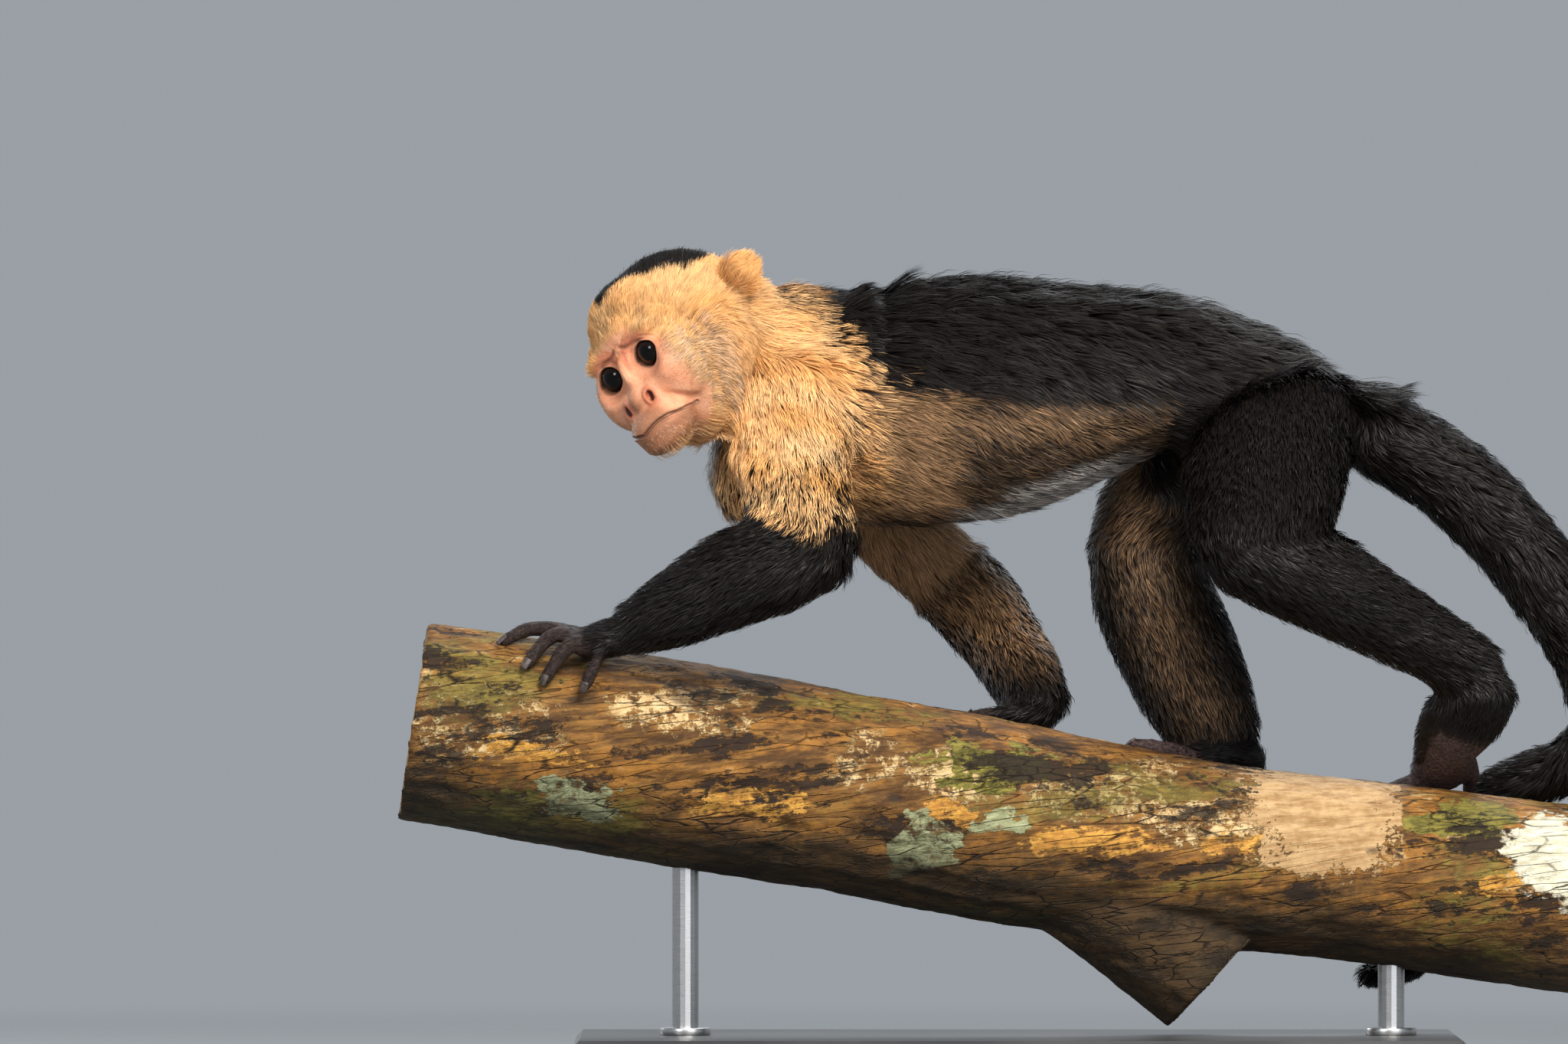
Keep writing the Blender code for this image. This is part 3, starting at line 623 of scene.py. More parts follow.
coat[:, 2] = coat[:, 2] * (1 - sparse) + 1.2 * sparse
coat[:, 3] = coat[:, 3] * (1 - face) + (0.17 - 0.06 * sparse) * face
# The fur of forearm and shin runs on over wrist and ankle, and thins out towards the fingers and toes.
HAIRY_ENDS = {  # middle of the furred part, and how far from it the fur starts and stops thinning
    "hand_left": ((-172, -33, 207), 12, 34), "hand_right": ((10, 26, 172), 12, 34),
    "foot_left": ((214, -42, 190), 30, 44), "foot_right": ((100, 33, 156), 10, 38),
}
END_COAT = (2.4, 7.0, 1.1, 0.40)  # as in COAT, where wrist and ankle are furred
furred_end = np.zeros(len(places))
for name, (middle, inner, outer) in HAIRY_ENDS.items():
    reach = off_centre(places / MM, middle)
    furred_end += smoothstep(reach, outer, inner) * (node_here == name)
instep = smoothstep(-outward[:, 0], 0.1, 0.6) * smoothstep(places[:, 2] / MM, 138, 150)
furred_end = np.maximum(furred_end, instep * (node_here == "foot_left") * 0.7)
coat = coat + furred_end[:, None] * (np.array(END_COAT) - coat) * np.array((0.8, 1, 1, 1))
tail_end = smoothstep(places[:, 2], 0.10, 0.05) * (node_here == "tail_5")
coat[:, 0] -= 2.6 * tail_end
coat[:, 1] -= 4.5 * tail_end

fields = relaxed(np.column_stack((coat, furred_end, lie)), pairs, 14)
coat, furred_end, lie = fields[:, :4], fields[:, 4], relaxed(fields[:, 5:], pairs, 16)
smooth_out = unit(relaxed(outward, pairs, 10))
moved = places - smooth_out * coat[:, :1] * MM
moved = relaxed(moved, pairs, 6, EVEN_OUT)
move_corners(skin.data, moved)
rough_fields, rough_owner = np.column_stack((coat, lie, furred_end)), owner
rough_tree = KDTree(len(moved))
for index, place in enumerate(moved):
    rough_tree.insert(place, index)
rough_tree.balance()


def from_rough(places):
    """For each place, the number of the nearest corner of the hide before it was thinned."""
    return np.array([rough_tree.find(place)[1] for place in places])


# Only the face, ears, hands and feet keep the fine mesh, and the face gets a finer one still.
is_fine = np.isin(kind_here, ("head", "ear", "hand", "foot"))
is_plain = ~is_fine | (is_head & (local[:, 0] < -26))
group = skin.vertex_groups.new(name="plain")
group.add(np.flatnonzero(is_plain).tolist(), 1.0, "REPLACE")
apply_modifier(skin, "DECIMATE", ratio=1 - (1 - BODY_KEPT) * float(np.mean(~is_fine)), vertex_group="plain")


MOUTH = np.array([  # the line of the mouth from its corner to the middle
    (0.4, 15.6, -30.2), (6.5, 14.9, -29.9), (12.3, 14.1, -29.2), (17.8, 12.4, -28.1),
    (21.4, 9.4, -27.8), (23.6, 6.4, -28.2), (25.0, 3.4, -29.0), (25.8, 0, -30.0),
])
NOSTRIL, NOSTRIL_SIZE, NOSTRIL_PUSH = (14.9, 8.0, -16.6), (3.4, 2.4, 3.4), (-2.3, -2.1, 0.4)


def distance_to_line(local, line):
    """From each place to a line given for the near side, the far side being its mirror image."""
    points = near_side(local)
    best = np.full(len(points), 1e9)
    for start, stop in zip(line[:-1], line[1:]):
        along = stop - start
        t = np.clip(((points - start) @ along) / (along @ along), 0, 1)
        best = np.minimum(best, np.linalg.norm(points - start - t[:, None] * along, axis=1))
    return best


def nostril_pit(local):
    """Distance from the middle of the nearer nostril, as a share of its size."""
    return off_centre(near_side(local), NOSTRIL, NOSTRIL_SIZE)


def near_eye(local):
    """Distance from the nearer eyeball's axis, as a share of the opening's size, and from its centre."""
    side = np.abs(local[:, 1]) - EYE_PLACE
    outer = np.where(side > 0, 1.04, 0.98)  # the outer corner is drawn out a little
    oval = np.sqrt((side / (LID_OPENING[0] * outer)) ** 2 + np.abs(local[:, 2] / LID_OPENING[1]) ** 1.7)
    centre = np.sqrt(local[:, 0] ** 2 + side**2 + local[:, 2] ** 2)
    return oval, centre


def split_faces(chosen):
    """Every chosen face of the skin is cut into four."""
    select_faces(skin, chosen)
    bpy.ops.mesh.subdivide(number_cuts=1)
    bpy.ops.object.mode_set(mode="OBJECT")
    apply_modifier(skin, "TRIANGULATE")


centres = in_head(read(skin.data.polygons, "center"))
split_faces(off_centre(centres, FACE_MIDDLE) < 37)

# The face is drawn onto a rounded sum of egg shapes: centre, radii, turn and how softly each joins.
FACE_BALLS = [
    ((-36, 0, 6), (41, 32, 32), (0, 0, 0), 5), ((-14, 0, 12), (21, 24.6, 24.5), (0, 0, 0), 6),
    ((-9, 0, -6), (18.6, 25.5, 19.5), (0, 0, 0), 6), ((-3, 16.6, -10), (16.0, 13.2, 18), (0, 0, 0), 6),
    ((-25, 18, -15), (23, 17, 20), (0, 0, -12), 6), ((-24, 0, -27), (28, 26, 19.5), (0, 4, 0), 6),
    ((2, 7.5, -16), (14.6, 9.2, 10.4), (0, 20, 0), 4), ((7, 0, -26), (18.8, 15.2, 9.4), (0, 14, 0), 3),
    ((8.2, 0, -33.4), (16.0, 13.2, 7.4), (0, 16, 0), 5), ((1.2, 12, 9.2), (6.6, 11.5, 4.6), (0, 0, -14), 4),
    ((6.2, 0, -7), (7.2, 5.6, 12), (0, 22, 0), 4), ((12.4, 0, -15), (6.6, 5.4, 5.2), (0, 10, 0), 3),
    ((12.4, 5.9, -15.6), (3.8, 3.7, 3.9), (0, 10, 30), 2), ((-6.5, 18.0, 11), (9.0, 7.6, 8.0), (0, 0, 0), 5),
]
FACE_BALLS_DEPTH = 0.6  # how far their surface already lies under the coat's outline
FOLDS = [  # a line on the near side, depth (a rise if negative) and half width
    (MOUTH, 1.4, 0.55),
    (((7.6, 2.2, 9.4), (7.4, 5.4, 7.9), (6.9, 12.7, 7.2), (4.8, 19.5, 6.0)), 0.8, 0.9),
    (((9.4, 2.6, 8.4), (10.4, 3.0, 3.2), (12.3, 3.6, -1.8)), 0.8, 0.85),
    (((9.0, 13.0, -8.6), (7.6, 19.5, -6.6), (4.6, 23.2, -2.6)), 0.4, 0.7),
    (((9.6, 8.0, -9.6), (10.0, 14.0, -11.6), (8.0, 20.0, -10.0)), 0.35, 0.8),
    (((13.0, 10.6, -15.5), (11.0, 13.6, -20.0), (7.6, 17.0, -24.6), (2.0, 18.6, -29.0)), 0.7, 1.5),
    (((20.5, 0.0, -20.0), (23.4, 0.0, -27.0)), 0.2, 0.9),
    (((23.4, 0.0, -35.4), (18.6, 8.0, -35.0), (11.0, 13.6, -34.0)), 0.15, 1.4),
]


def egg(points, centre, radii, turn):
    turned = (points - np.array(centre)) @ np.array(Euler([math.radians(a) for a in turn]).to_matrix())
    near = np.linalg.norm(turned / np.array(radii), axis=1)
    far = np.linalg.norm(turned / np.array(radii) ** 2, axis=1)
    return near * (near - 1) / np.maximum(far, 1e-6)


def joined(first, second, soft):
    share = np.clip(0.5 + 0.5 * (second - first) / soft, 0, 1)
    return second * (1 - share) + first * share - soft * share * (1 - share)


def face_distance(local):
    points = np.column_stack((local[:, 0], np.sqrt(local[:, 1] ** 2 + 0.8), local[:, 2]))
    total = egg(points, *FACE_BALLS[0][:3])
    for centre, radii, turn, soft in FACE_BALLS[1:]:
        total = joined(total, egg(points, centre, radii, turn), soft)
    socket = off_centre(points, (16.0, 12.6, 0.2)) - 10.0  # a hollow around each eye
    total = -joined(-total, socket, 4.0)
    lids = off_centre(points, (0, EYE_PLACE, 0)) - LID_RADIUS
    return joined(total, lids, 1.6)


def slope_of(local):
    steps = np.array(((1, -1, -1), (-1, 1, -1), (-1, -1, 1), (1, 1, 1))) * 0.35
    return unit(sum(step * face_distance(local + step)[:, None] for step in steps))


def sculpt(passes, loosen):
    """Moves the face onto its shape."""
    local = in_head(corners(skin.data))
    nearness = smoothstep(off_centre(local, FACE_MIDDLE), 39, 29)
    chosen = np.flatnonzero(nearness > 0)
    every = edge_pairs(skin.data)
    number = np.full(len(local), -1)
    number[chosen] = np.arange(len(chosen))
    inner = number[every]
    inner = inner[(inner >= 0).all(axis=1)]
    part, weight = local[chosen], nearness[chosen]
    sunk = rough_fields[from_rough(from_head(part)), 0] - FACE_BALLS_DEPTH
    sunk = relaxed(sunk * smoothstep(near_eye(part)[1], 12, 17), inner, 8)
    for _ in range(passes):
        slopes = slope_of(part)
        part = part - slopes * ((face_distance(part) + sunk) * weight * 0.9)[:, None]
        smoother = relaxed(part, inner, 1, (loosen,), weight) - part
        part = part + smoother - slopes * np.sum(smoother * slopes, axis=1, keepdims=True)
    local[chosen] = part
    move_corners(skin.data, from_head(local))


sculpt(9, 0.45)
centres = in_head(read(skin.data.polygons, "center"))
oval, centre = near_eye(centres)
fine_face = ((centre < 11.5) & (centres[:, 0] > 1)) | (distance_to_line(centres, MOUTH) < 3.0)
fine_face |= off_centre(near_side(centres), NOSTRIL) < 5.5
split_faces(fine_face)
sculpt(4, 0.35)

local = in_head(corners(skin.data))
lean = outward_of(skin.data) @ HEAD_BACK[:3, :3].T
for line, depth, width in FOLDS:
    distance = distance_to_line(local, np.array(line, float))
    if line is MOUTH:
        depth = depth * (1 - 0.5 * smoothstep(np.abs(local[:, 1]), 5, 0.5))
    groove = depth * hump(distance, width) - 0.25 * depth * hump(distance - 2.1 * width, width)
    local = local - lean * (groove * smoothstep(local[:, 0], -5, 1))[:, None]
pit = nostril_pit(local)
push = smoothstep(pit, 1.0, 0.45)[:, None] * np.array(NOSTRIL_PUSH)
push[:, 1] *= np.sign(local[:, 1])
rim = 0.35 * hump(pit - 1.25, 0.28)
local = local + push + lean * rim[:, None] * (pit < 3)[:, None]

# The lids: a fold above, a rolled edge, and the opening sunk out of sight behind the eyeball.
oval, centre = near_eye(local)
front = (local[:, 0] > 1.5) & (centre < 13)
arc = np.where(local[:, 2] > 0, 1.42, 1.5)
fold = 0.42 * hump(oval - arc, 0.10) * np.where(local[:, 2] > 0, 1.0, 0.45)
roll = 0.22 * hump(oval - 1.12, 0.10)
local = local + lean * ((roll - fold) * front)[:, None]
sink = smoothstep(oval, 1.08, 0.95) * front
local[:, 0] += (np.minimum(local[:, 0], 3.0) - local[:, 0]) * sink
move_corners(skin.data, from_head(local))
activate(skin)
bpy.ops.object.shade_smooth()

# What each part of the hide knows about the coat over it.
skin_places, skin_out = corners(skin.data), outward_of(skin.data)
source = from_rough(skin_places)
skin_fields, skin_owner = rough_fields[source], rough_owner[source]
skin_lie = level(skin_fields[:, 4:7], skin_out)


def ripple(points, scale, seed):
    """Smooth, cheap noise of about -1 to 1 over places in millimetres."""
    rng = np.random.default_rng(seed)
    total = np.zeros(len(points))
    for octave in (1.0, 1.9, 3.1):
        for _ in range(3):
            direction = rng.normal(size=3)
            total += np.sin(points @ (direction * octave / scale) + rng.uniform(0, 6.3)) / (3 * octave**0.6)
    return total


def marks_at(places, owner, out):
    """The animal's colours: cream, grey, tan and warm, each 0 to 1; where all are 0 it is black."""
    points, local = places / MM, in_head(places)
    x, y, z = points.T
    names = np.array(flesh)[owner]
    uneven = ripple(points, 9.0, 3)
    head_here, ear_here = names == "head", np.char.startswith(names, "ear")
    arm_here = np.char.startswith(names, "upper_arm")
    trunk_here = np.char.startswith(names, "trunk")
    front_here = (names == "neck") | (names == "trunk_chest") | arm_here

    rear_edge = -67 - 1.2 * np.maximum(0, z - 325) + uneven * 4
    low_edge = np.interp(x, (-121, -112, -90, -76), (272, 273, 282, 296)) + uneven * 5
    mantle = smoothstep(rear_edge - x, -5, 24) * smoothstep(z - low_edge, -12, 20) * front_here
    half_pale = smoothstep(rear_edge - x, -8, 8) * smoothstep(z - low_edge, -40, -6)
    half_pale = half_pale * front_here * (1 - mantle)
    throat = smoothstep(off_centre(points, (-134, -8, 272), (22, 34, 34)), 1.1, 0.65)
    throat = throat * ((names == "neck") | (names == "trunk_chest"))
    cream = np.maximum(mantle, half_pale * 0.56) * (1 - throat * 0.85)
    grey = throat * 0.85

    saddle = smoothstep(z + uneven * 3, 311, 317)
    stripe = hump(z - 303 + uneven * 1.5, 10.0) * smoothstep(x, -72, -20) * smoothstep(x, 100, 0)
    golden = smoothstep(-34 - x, -14, 14) * smoothstep(z, 256, 266)
    flank = np.maximum(np.maximum(stripe * 0.50, golden * 0.76), 0.12) * (1 - saddle)
    tan = flank * trunk_here * (1 - mantle) * (names != "trunk_hips")
    fringe_line = 262 + (x + 35) * 0.353
    fringe = smoothstep(fringe_line + 1 - z + uneven * 2, -5, 6)
    fringe = fringe * smoothstep(x, -48, -25) * smoothstep(x, 52, 30) * trunk_here
    grey = np.maximum(grey, fringe * 0.62)
    tan = tan * (1 - fringe)
    inner_arm = (names == "upper_arm_right") * smoothstep(out[:, 1], 0.35, -0.25)
    tan = np.maximum(tan, inner_arm * 0.95)
    fore_inner = (names == "forearm_right") * smoothstep(out[:, 1], 0.1, -0.5) * smoothstep(z, 180, 215)
    tan = np.maximum(tan, fore_inner * 0.55)
    leg_line = np.interp(z, (170, 200, 235, 270), (84, 69, 58, 56))
    leg_inner = hump(x - leg_line, 13.0) * smoothstep(z, 148, 180) * smoothstep(out[:, 1], -0.1, -0.6)
    tan = np.maximum(tan, leg_inner * 0.42 * ((names == "thigh_right") | (names == "shin_right")))
    warm = np.clip(0.5 + uneven * 0.35, 0, 1)

    cap = cap_of(local)
    m, side = bare_face(local), np.abs(local[:, 1])
    cheek = smoothstep(m, 1.7, 1.35) * smoothstep(side, 10, 20) * smoothstep(local[:, 2], 8, -2)
    patch = smoothstep(off_centre(local, (-14.7, 32.8, -14.7)), 14, 6)
    streaky = np.clip(0.6 + ripple(points, 2.6, 8) * 0.7, 0, 1)
    grey = np.where(head_here, np.maximum(cheek * 0.26 * streaky, patch * 0.2), grey)
    grey = np.where(head_here, np.maximum(grey, smoothstep(m, 1.1, 0.95) * 0.3), grey)
    cream = np.where(head_here, (1 - cap) * (1 - 0.36 * cheek), cream)
    gold_temple = hump(off_centre(near_side(local), (-17, 30, 0), (14, 8, 5)), 1)
    gold_rear = hump(off_centre(near_side(local), (-20, 34, -18), (7, 10, 16)), 1)
    warm_head = np.clip(0.55 + uneven * 0.22 + gold_temple * 0.8 + gold_rear * 0.6, 0, 1)
    warm = np.where(head_here, warm_head, warm)
    tan = np.where(head_here, cheek, tan)
    cream, warm = np.where(ear_here, 0.95, cream), np.where(ear_here, 0.85, warm)
    tan, grey = np.where(ear_here, 0.1, tan), np.where(ear_here, 0.0, grey)
    return np.clip(np.column_stack((cream, grey, tan, warm)), 0, 1)


marks = marks_at(skin_places, skin_owner, skin_out)
local = in_head(skin_places)
names = np.array(flesh)[skin_owner]
bare = smoothstep(bare_face(local), 1.32, 1.02) * (names == "head")
oval, centre = near_eye(local)
at_eye = (centre < 16) & (local[:, 0] > -2)
lid_edge = smoothstep(oval, 1.16, 1.04) * at_eye * np.where(local[:, 2] > -1, 1.0, 0.75)
# Painted shade: the mouth's line and the creases of the first three folds, all sculpted grooves, are painted
# dark. The lids' edges are darker skin of their own.
mouth_line_shade = hump(distance_to_line(local, MOUTH), 1.05) * (local[:, 0] > -2)
crease_shade = sum(hump(distance_to_line(local, np.array(line, float)), 0.8) for line, _, _ in FOLDS[1:4])
pit = nostril_pit(local)
# Painted shade inside the nostrils' shallow pits, over their reddish lining.
nostril = smoothstep(pit, 1.05, 0.6)
dark = np.clip(lid_edge * 0.9 + mouth_line_shade + crease_shade * 0.7 * (local[:, 0] > -4), 0, 1)
flush = hump(oval - 1.85, 0.65) * at_eye * np.where(local[:, 2] > -2, 1.0, 0.5)
flush = np.maximum(flush, hump(pit - 1.2, 0.5) * 0.8)
# The chin's own darker brown skin below the mouth, and painted shade on the face's front from the nose
# forward.
muzzle_and_front_shade = smoothstep(local[:, 2], -28, -33) * smoothstep(local[:, 0], -8, 4)
muzzle_and_front_shade = np.maximum(muzzle_and_front_shade, smoothstep(local[:, 0], 13, 21) * 0.85)
store(skin.data, "marks", "FLOAT_COLOR", marks)
face_marks = np.column_stack((bare, dark, np.clip(flush, 0, 1), np.clip(muzzle_and_front_shade, 0, 1)))
store(skin.data, "face", "FLOAT_COLOR", face_marks)
is_limb_end = np.char.startswith(names, "hand") | np.char.startswith(names, "foot")
bare_end = is_limb_end * smoothstep(skin_fields[:, 7], 0.75, 0.35)
details = np.column_stack((nostril, bare_end, np.char.startswith(names, "ear"), np.ones(len(names))))
store(skin.data, "detail", "FLOAT_COLOR", details)

# Black, then what each mark adds: the colour at a hair's root and at its tip.
BLACK = ((0.003, 0.0025, 0.0025), (0.010, 0.007, 0.006))
CREAM = ((0.78, 0.41, 0.16), (0.98, 0.66, 0.35))
GOLD = ((0.66, 0.28, 0.075), (0.97, 0.50, 0.17))
GREY = ((0.13, 0.105, 0.09), (0.76, 0.70, 0.65))
TAN = ((0.095, 0.049, 0.025), (0.48, 0.275, 0.135))
PINK, FLUSH = (0.64, 0.255, 0.135), (0.56, 0.15, 0.075)
LID_DARK_AND_CREASE_SHADE, MUZZLE_AND_FRONT_SHADE = (0.030, 0.012, 0.010), (0.20, 0.080, 0.038)


def colour_at(start, name, index):
    """One channel of a colour kept in the mesh."""
    if index == 3:
        return start.make("Attribute", {"attribute_name": name}, {}, output=3)
    whole = start.make("Attribute", {"attribute_name": name}, {})
    return start.make("SeparateColor", {}, {0: whole}, output=index)


def coat_colour(start, cream, grey, tan, warm, along):
    """The colour of hair with these marks, at a share of its length. A weak mark shows only at the tip."""

    def tipped(mark):
        return (along + mark * 1.5 - 1.0).rise(0.0, 0.5)

    cream = tipped(cream)
    colour = along.blend(*BLACK)
    pale = warm.blend(along.blend(*CREAM), along.blend(*GOLD))
    colour = tan.blend(colour, along.blend(*TAN))
    colour = cream.blend(colour, pale)
    return grey.blend(colour, along.blend(*GREY))


hide, shader, place = new_finish(
    "hide", 0.5, Specular_IOR_Level=0.3,
    Subsurface_Weight=0.06, Subsurface_Radius=(0.004, 0.0016, 0.001), Subsurface_Scale=1.0,
)
cream, grey, tan, warm = (colour_at(place, "marks", index) for index in range(4))
bare, dark, flush, muzzle_and_front_shade = (colour_at(place, "face", index) for index in range(4))
nostril, limb_end, ear = (colour_at(place, "detail", index) for index in range(3))
mottle, pores = place.clouds(130.0, 4.0), place.clouds(1500.0, 3.0, 0.6)
lines = place.stretched(1.0, 1.0, 1.6).clouds(620.0, 4.0, 0.62)
under = coat_colour(place, cream, grey, tan, warm, place.clouds(900.0, 4.0, 0.7).rise(0.3, 0.9) * 0.5)
face_skin = mottle.rise(0.3, 0.7).blend(PINK, (0.82, 0.42, 0.25))
face_skin = (place.clouds(260.0, 4.0, 0.6).rise(0.5, 0.75) * 0.45).blend(face_skin, (0.64, 0.21, 0.10))
# The chin's darker skin, and painted shade on the face's front.
face_skin = (muzzle_and_front_shade * 0.85).blend(face_skin, MUZZLE_AND_FRONT_SHADE)
face_skin = (flush * 0.75).blend(face_skin, FLUSH)
face_skin = (pores.rise(0.52, 0.72) * 0.4).blend(face_skin, (0.40, 0.15, 0.08))
# The lids' own dark edges, and painted shade along the mouth's line and the face's creases.
face_skin = (dark * 0.92).blend(face_skin, LID_DARK_AND_CREASE_SHADE)
# Painted shade inside the nostrils.
face_skin = nostril.blend(face_skin, (0.05, 0.004, 0.004))
hand_skin = lines.rise(0.35, 0.7).blend((0.009, 0.005, 0.0045), (0.050, 0.028, 0.023))
foot_skin = lines.rise(0.35, 0.7).blend((0.030, 0.018, 0.017), (0.140, 0.088, 0.082))
hand_skin = place.part(0).rise(0.030, 0.045).blend(hand_skin, foot_skin)
colour = bare.blend(under, face_skin)
colour = limb_end.blend(colour, hand_skin)
colour = (ear * 0.8).blend(colour, (0.42, 0.20, 0.12))
wrinkles = place.stretched(1.0, 1.0, 1.5).cells(1300.0).rise(0.0, 0.18)
fine_bump = raised(pores * 0.5 + lines * 0.8 + wrinkles * limb_end * 0.35, 0.65, 0.0005)
wire_in(
    shader,
    Base_Color=colour,
    Roughness=0.58 - dark * 0.18 + (pores - 0.5) * 0.2,
    Normal=raised(mottle + wrinkles * (limb_end * 0.15), 0.3, 0.0008, fine_bump),
)
dress(skin, hide)

activate(skin)
bpy.ops.object.mode_set(mode="EDIT")
bpy.ops.mesh.select_all(action="SELECT")
bpy.ops.uv.smart_project(angle_limit=math.radians(72), island_margin=0.002)
bpy.ops.object.mode_set(mode="OBJECT")
skin.data.uv_layers.active.name = "OFBake"
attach(skin, "root")
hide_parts(*flesh)

# ---- Eyes ----------------------------------------------------------------------------------------
# Glass eyes with a low cornea. The iris is so dark a brown that it hardly parts from the pupil, and
# the little white that shows is brownish.

EYE_RADIUS = 8.65
CORNEA_HALF, CORNEA_RISE = 6.2, 0.6  # its half width and how far it stands out
PUPIL, IRIS = 3.2, 6.4

eye_glass, shader, place = new_finish(
    "eye", 0.12, Coat_Weight=1.0, Coat_Roughness=0.02, Coat_IOR=1.3, Specular_IOR_Level=0.0
)
reach = place.kept("reach")
spokes = place.kept("spoke")
iris = reach.rise(PUPIL, IRIS).blend((0.004, 0.002, 0.0015), (0.012, 0.005, 0.003))
iris = (spokes.rise(0.4, 0.9) * 0.4).blend(iris, (0.018, 0.008, 0.004))
iris = reach.rise(PUPIL + 0.25, PUPIL - 0.25).blend(iris, (0.0015, 0.0012, 0.001))
iris = reach.rise(IRIS - 0.9, IRIS - 0.1).blend(iris, (0.006, 0.003, 0.002))
ball = reach.rise(IRIS - 0.1, IRIS + 0.4).blend(iris, (0.020, 0.011, 0.009))
wire_in(shader, Base_Color=ball, Roughness=reach.rise(IRIS, IRIS + 1.0) * 0.15 + 0.08)

gaze = unit(np.array((1.0, 0.10, -0.02)))
for name, side in (("eye_left", 1), ("eye_right", -1)):
    bpy.ops.object.select_all(action="DESELECT")
    bpy.ops.mesh.primitive_uv_sphere_add(segments=96, ring_count=64, radius=EYE_RADIUS)
    eye = bpy.context.object
    eye.name = name.replace("eye", "glass_eye")
    round_places = corners(eye.data)
    ahead = round_places @ gaze
    from_gaze = np.linalg.norm(round_places - np.outer(ahead, gaze), axis=1)
    bulge = CORNEA_RISE * np.clip(1 - (from_gaze / CORNEA_HALF) ** 2, 0, 1) ** 1.2 * (ahead > 0)
    round_places = round_places * (1 + bulge / EYE_RADIUS)[:, None]
    move_corners(eye.data, from_head(round_places + np.array((0, side * EYE_PLACE, 0))))
    store(eye.data, "reach", "FLOAT", np.where(ahead > 0, from_gaze, 99.0))
    turn = np.arctan2(round_places[:, 2], round_places[:, 1])
    spoke = 0.5 + 0.25 * np.sin(turn * 37 + np.sin(turn * 11) * 2) + 0.25 * np.sin(turn * 71)
    store(eye.data, "spoke", "FLOAT", spoke)
    bpy.ops.object.shade_smooth()
    dress(eye, eye_glass)
    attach(eye, "root")
    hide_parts(name)

# ---- Nails ---------------------------------------------------------------------------------------
# A narrow, curved, dark horn plate on the upper side of each finger and toe tip.

NAIL_WIDTH, NAIL_LENGTH, NAIL_ARCH = 3.7, 5.2, 0.75
DIGIT_TIPS = {  # knuckle and tip of each digit
    "hand_left": [
        ((-198, -2, 203), (-207, 7, 200)), ((-217, -16, 207.5), (-232, -21, 201.5)),
        ((-210, -28, 204), (-221, -36, 191)), ((-202, -35, 200), (-213, -41, 184)),
        ((-186, -41, 200), (-195, -44, 181)),
    ],
    "hand_right": [
        ((-10, 18, 169), (-22, 21, 167)), ((-24, 30, 163.5), (-38, 36, 156)),
        ((-27, 39, 157), (-37, 45, 144)), ((-22, 45, 149), (-30, 48, 134)),
        ((-11, 49, 145), (-17, 49, 129)),
    ],
    "foot_left": [
        ((205, 9, 142), (203, 20, 134)), ((187, 27, 129), (183, 38, 119)), ((179, 28, 128.5), (172, 40, 117)),
        ((171, 28, 129.5), (162, 40, 119)), ((165, 25, 132), (154, 37, 124)),
    ],
    "foot_right": [
        ((66, 14, 153), (51, 12, 155)), ((51, 29, 148), (37, 33, 143)), ((47, 36, 143), (36, 41, 132)),
        ((51, 43, 136), (41, 46, 123)), ((58, 47, 129), (50, 47, 115)),
    ],
}

horn, shader, place = new_finish("nail", 0.48, Specular_IOR_Level=0.5)
horn_colour = place.clouds(500.0, 3.0).rise(0.3, 0.7).blend((0.036, 0.027, 0.024), (0.100, 0.078, 0.070))
wire_in(shader, Base_Color=horn_colour)

hide_faces = [face.vertices[:] for face in skin.data.polygons]
hide_tree = BVHTree.FromPolygons([Vector(place) for place in skin_places], hide_faces)
BRANCH_AXIS = ((-272, -79, 76, 276), (165.5, 133.5, 105.8, 82.5))  # places along x, and its height there


def away_from_branch(point):
    """From the branch's middle out towards a point."""
    return unit(np.array((0.0, point[1], point[2] - np.interp(point[0], *BRANCH_AXIS))))


def add_nail(name, knuckle, tip):
    """A domed plate, laid on the hide where the top of the digit's end is."""
    knuckle, tip = np.array(knuckle, float), np.array(tip, float)
    ahead = unit(tip - knuckle)
    up = away_from_branch(tip)
    up = unit(up - ahead * (up @ ahead))
    place, normal = hide_tree.ray_cast(Vector((tip + ahead * 0.6 + up * 12) * MM), Vector(-up), 0.02)[:2]
    if place is None:
        return
    normal = unit(np.array(normal) * 0.5 + up * 0.5)
    ahead = unit(ahead - normal * (ahead @ normal))
    side = np.cross(normal, ahead)
    bpy.ops.mesh.primitive_grid_add(x_subdivisions=10, y_subdivisions=8, size=1.0)
    nail = bpy.context.object
    nail.name = name
    flat = corners(nail.data)
    along, over = flat[:, 0] + 0.5, flat[:, 1] * 2
    narrow = 1 - 0.45 * np.clip(along - 0.6, 0, 1) ** 1.5 * 2.2
    arch = NAIL_ARCH * (1 - (over * narrow) ** 2) - 1.1 * np.clip(along - 0.55, 0, 1) ** 2 * 3.0
    shape = np.outer((along - 0.52) * NAIL_LENGTH, ahead) + np.outer(over * narrow * NAIL_WIDTH / 2, side)
    shape += np.outer(arch - 0.15, normal)
    move_corners(nail.data, np.array(place) + shape * MM)
    apply_modifier(nail, "SOLIDIFY", thickness=0.0005, offset=-1.0)
    bpy.ops.object.shade_smooth()
    dress(nail, horn)
    return nail


for part_name, rows in DIGIT_TIPS.items():
    made = [add_nail(f"nail_{part_name}_{number}", *row) for number, row in enumerate(rows)]
    made = [nail for nail in made if nail is not None]
    nails = joined_up(made, "nails_" + part_name)
    bpy.ops.object.transform_apply(location=True, rotation=True, scale=True)
    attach(nails, "root")

# ---- Coat ----------------------------------------------------------------------------------------
# Thin flat tufts, rooted in the hide and lying along it: long locks on the back, short and dense on
# the cap, finer on mantle and cheeks, longest behind the throat, sparse on face and hands.

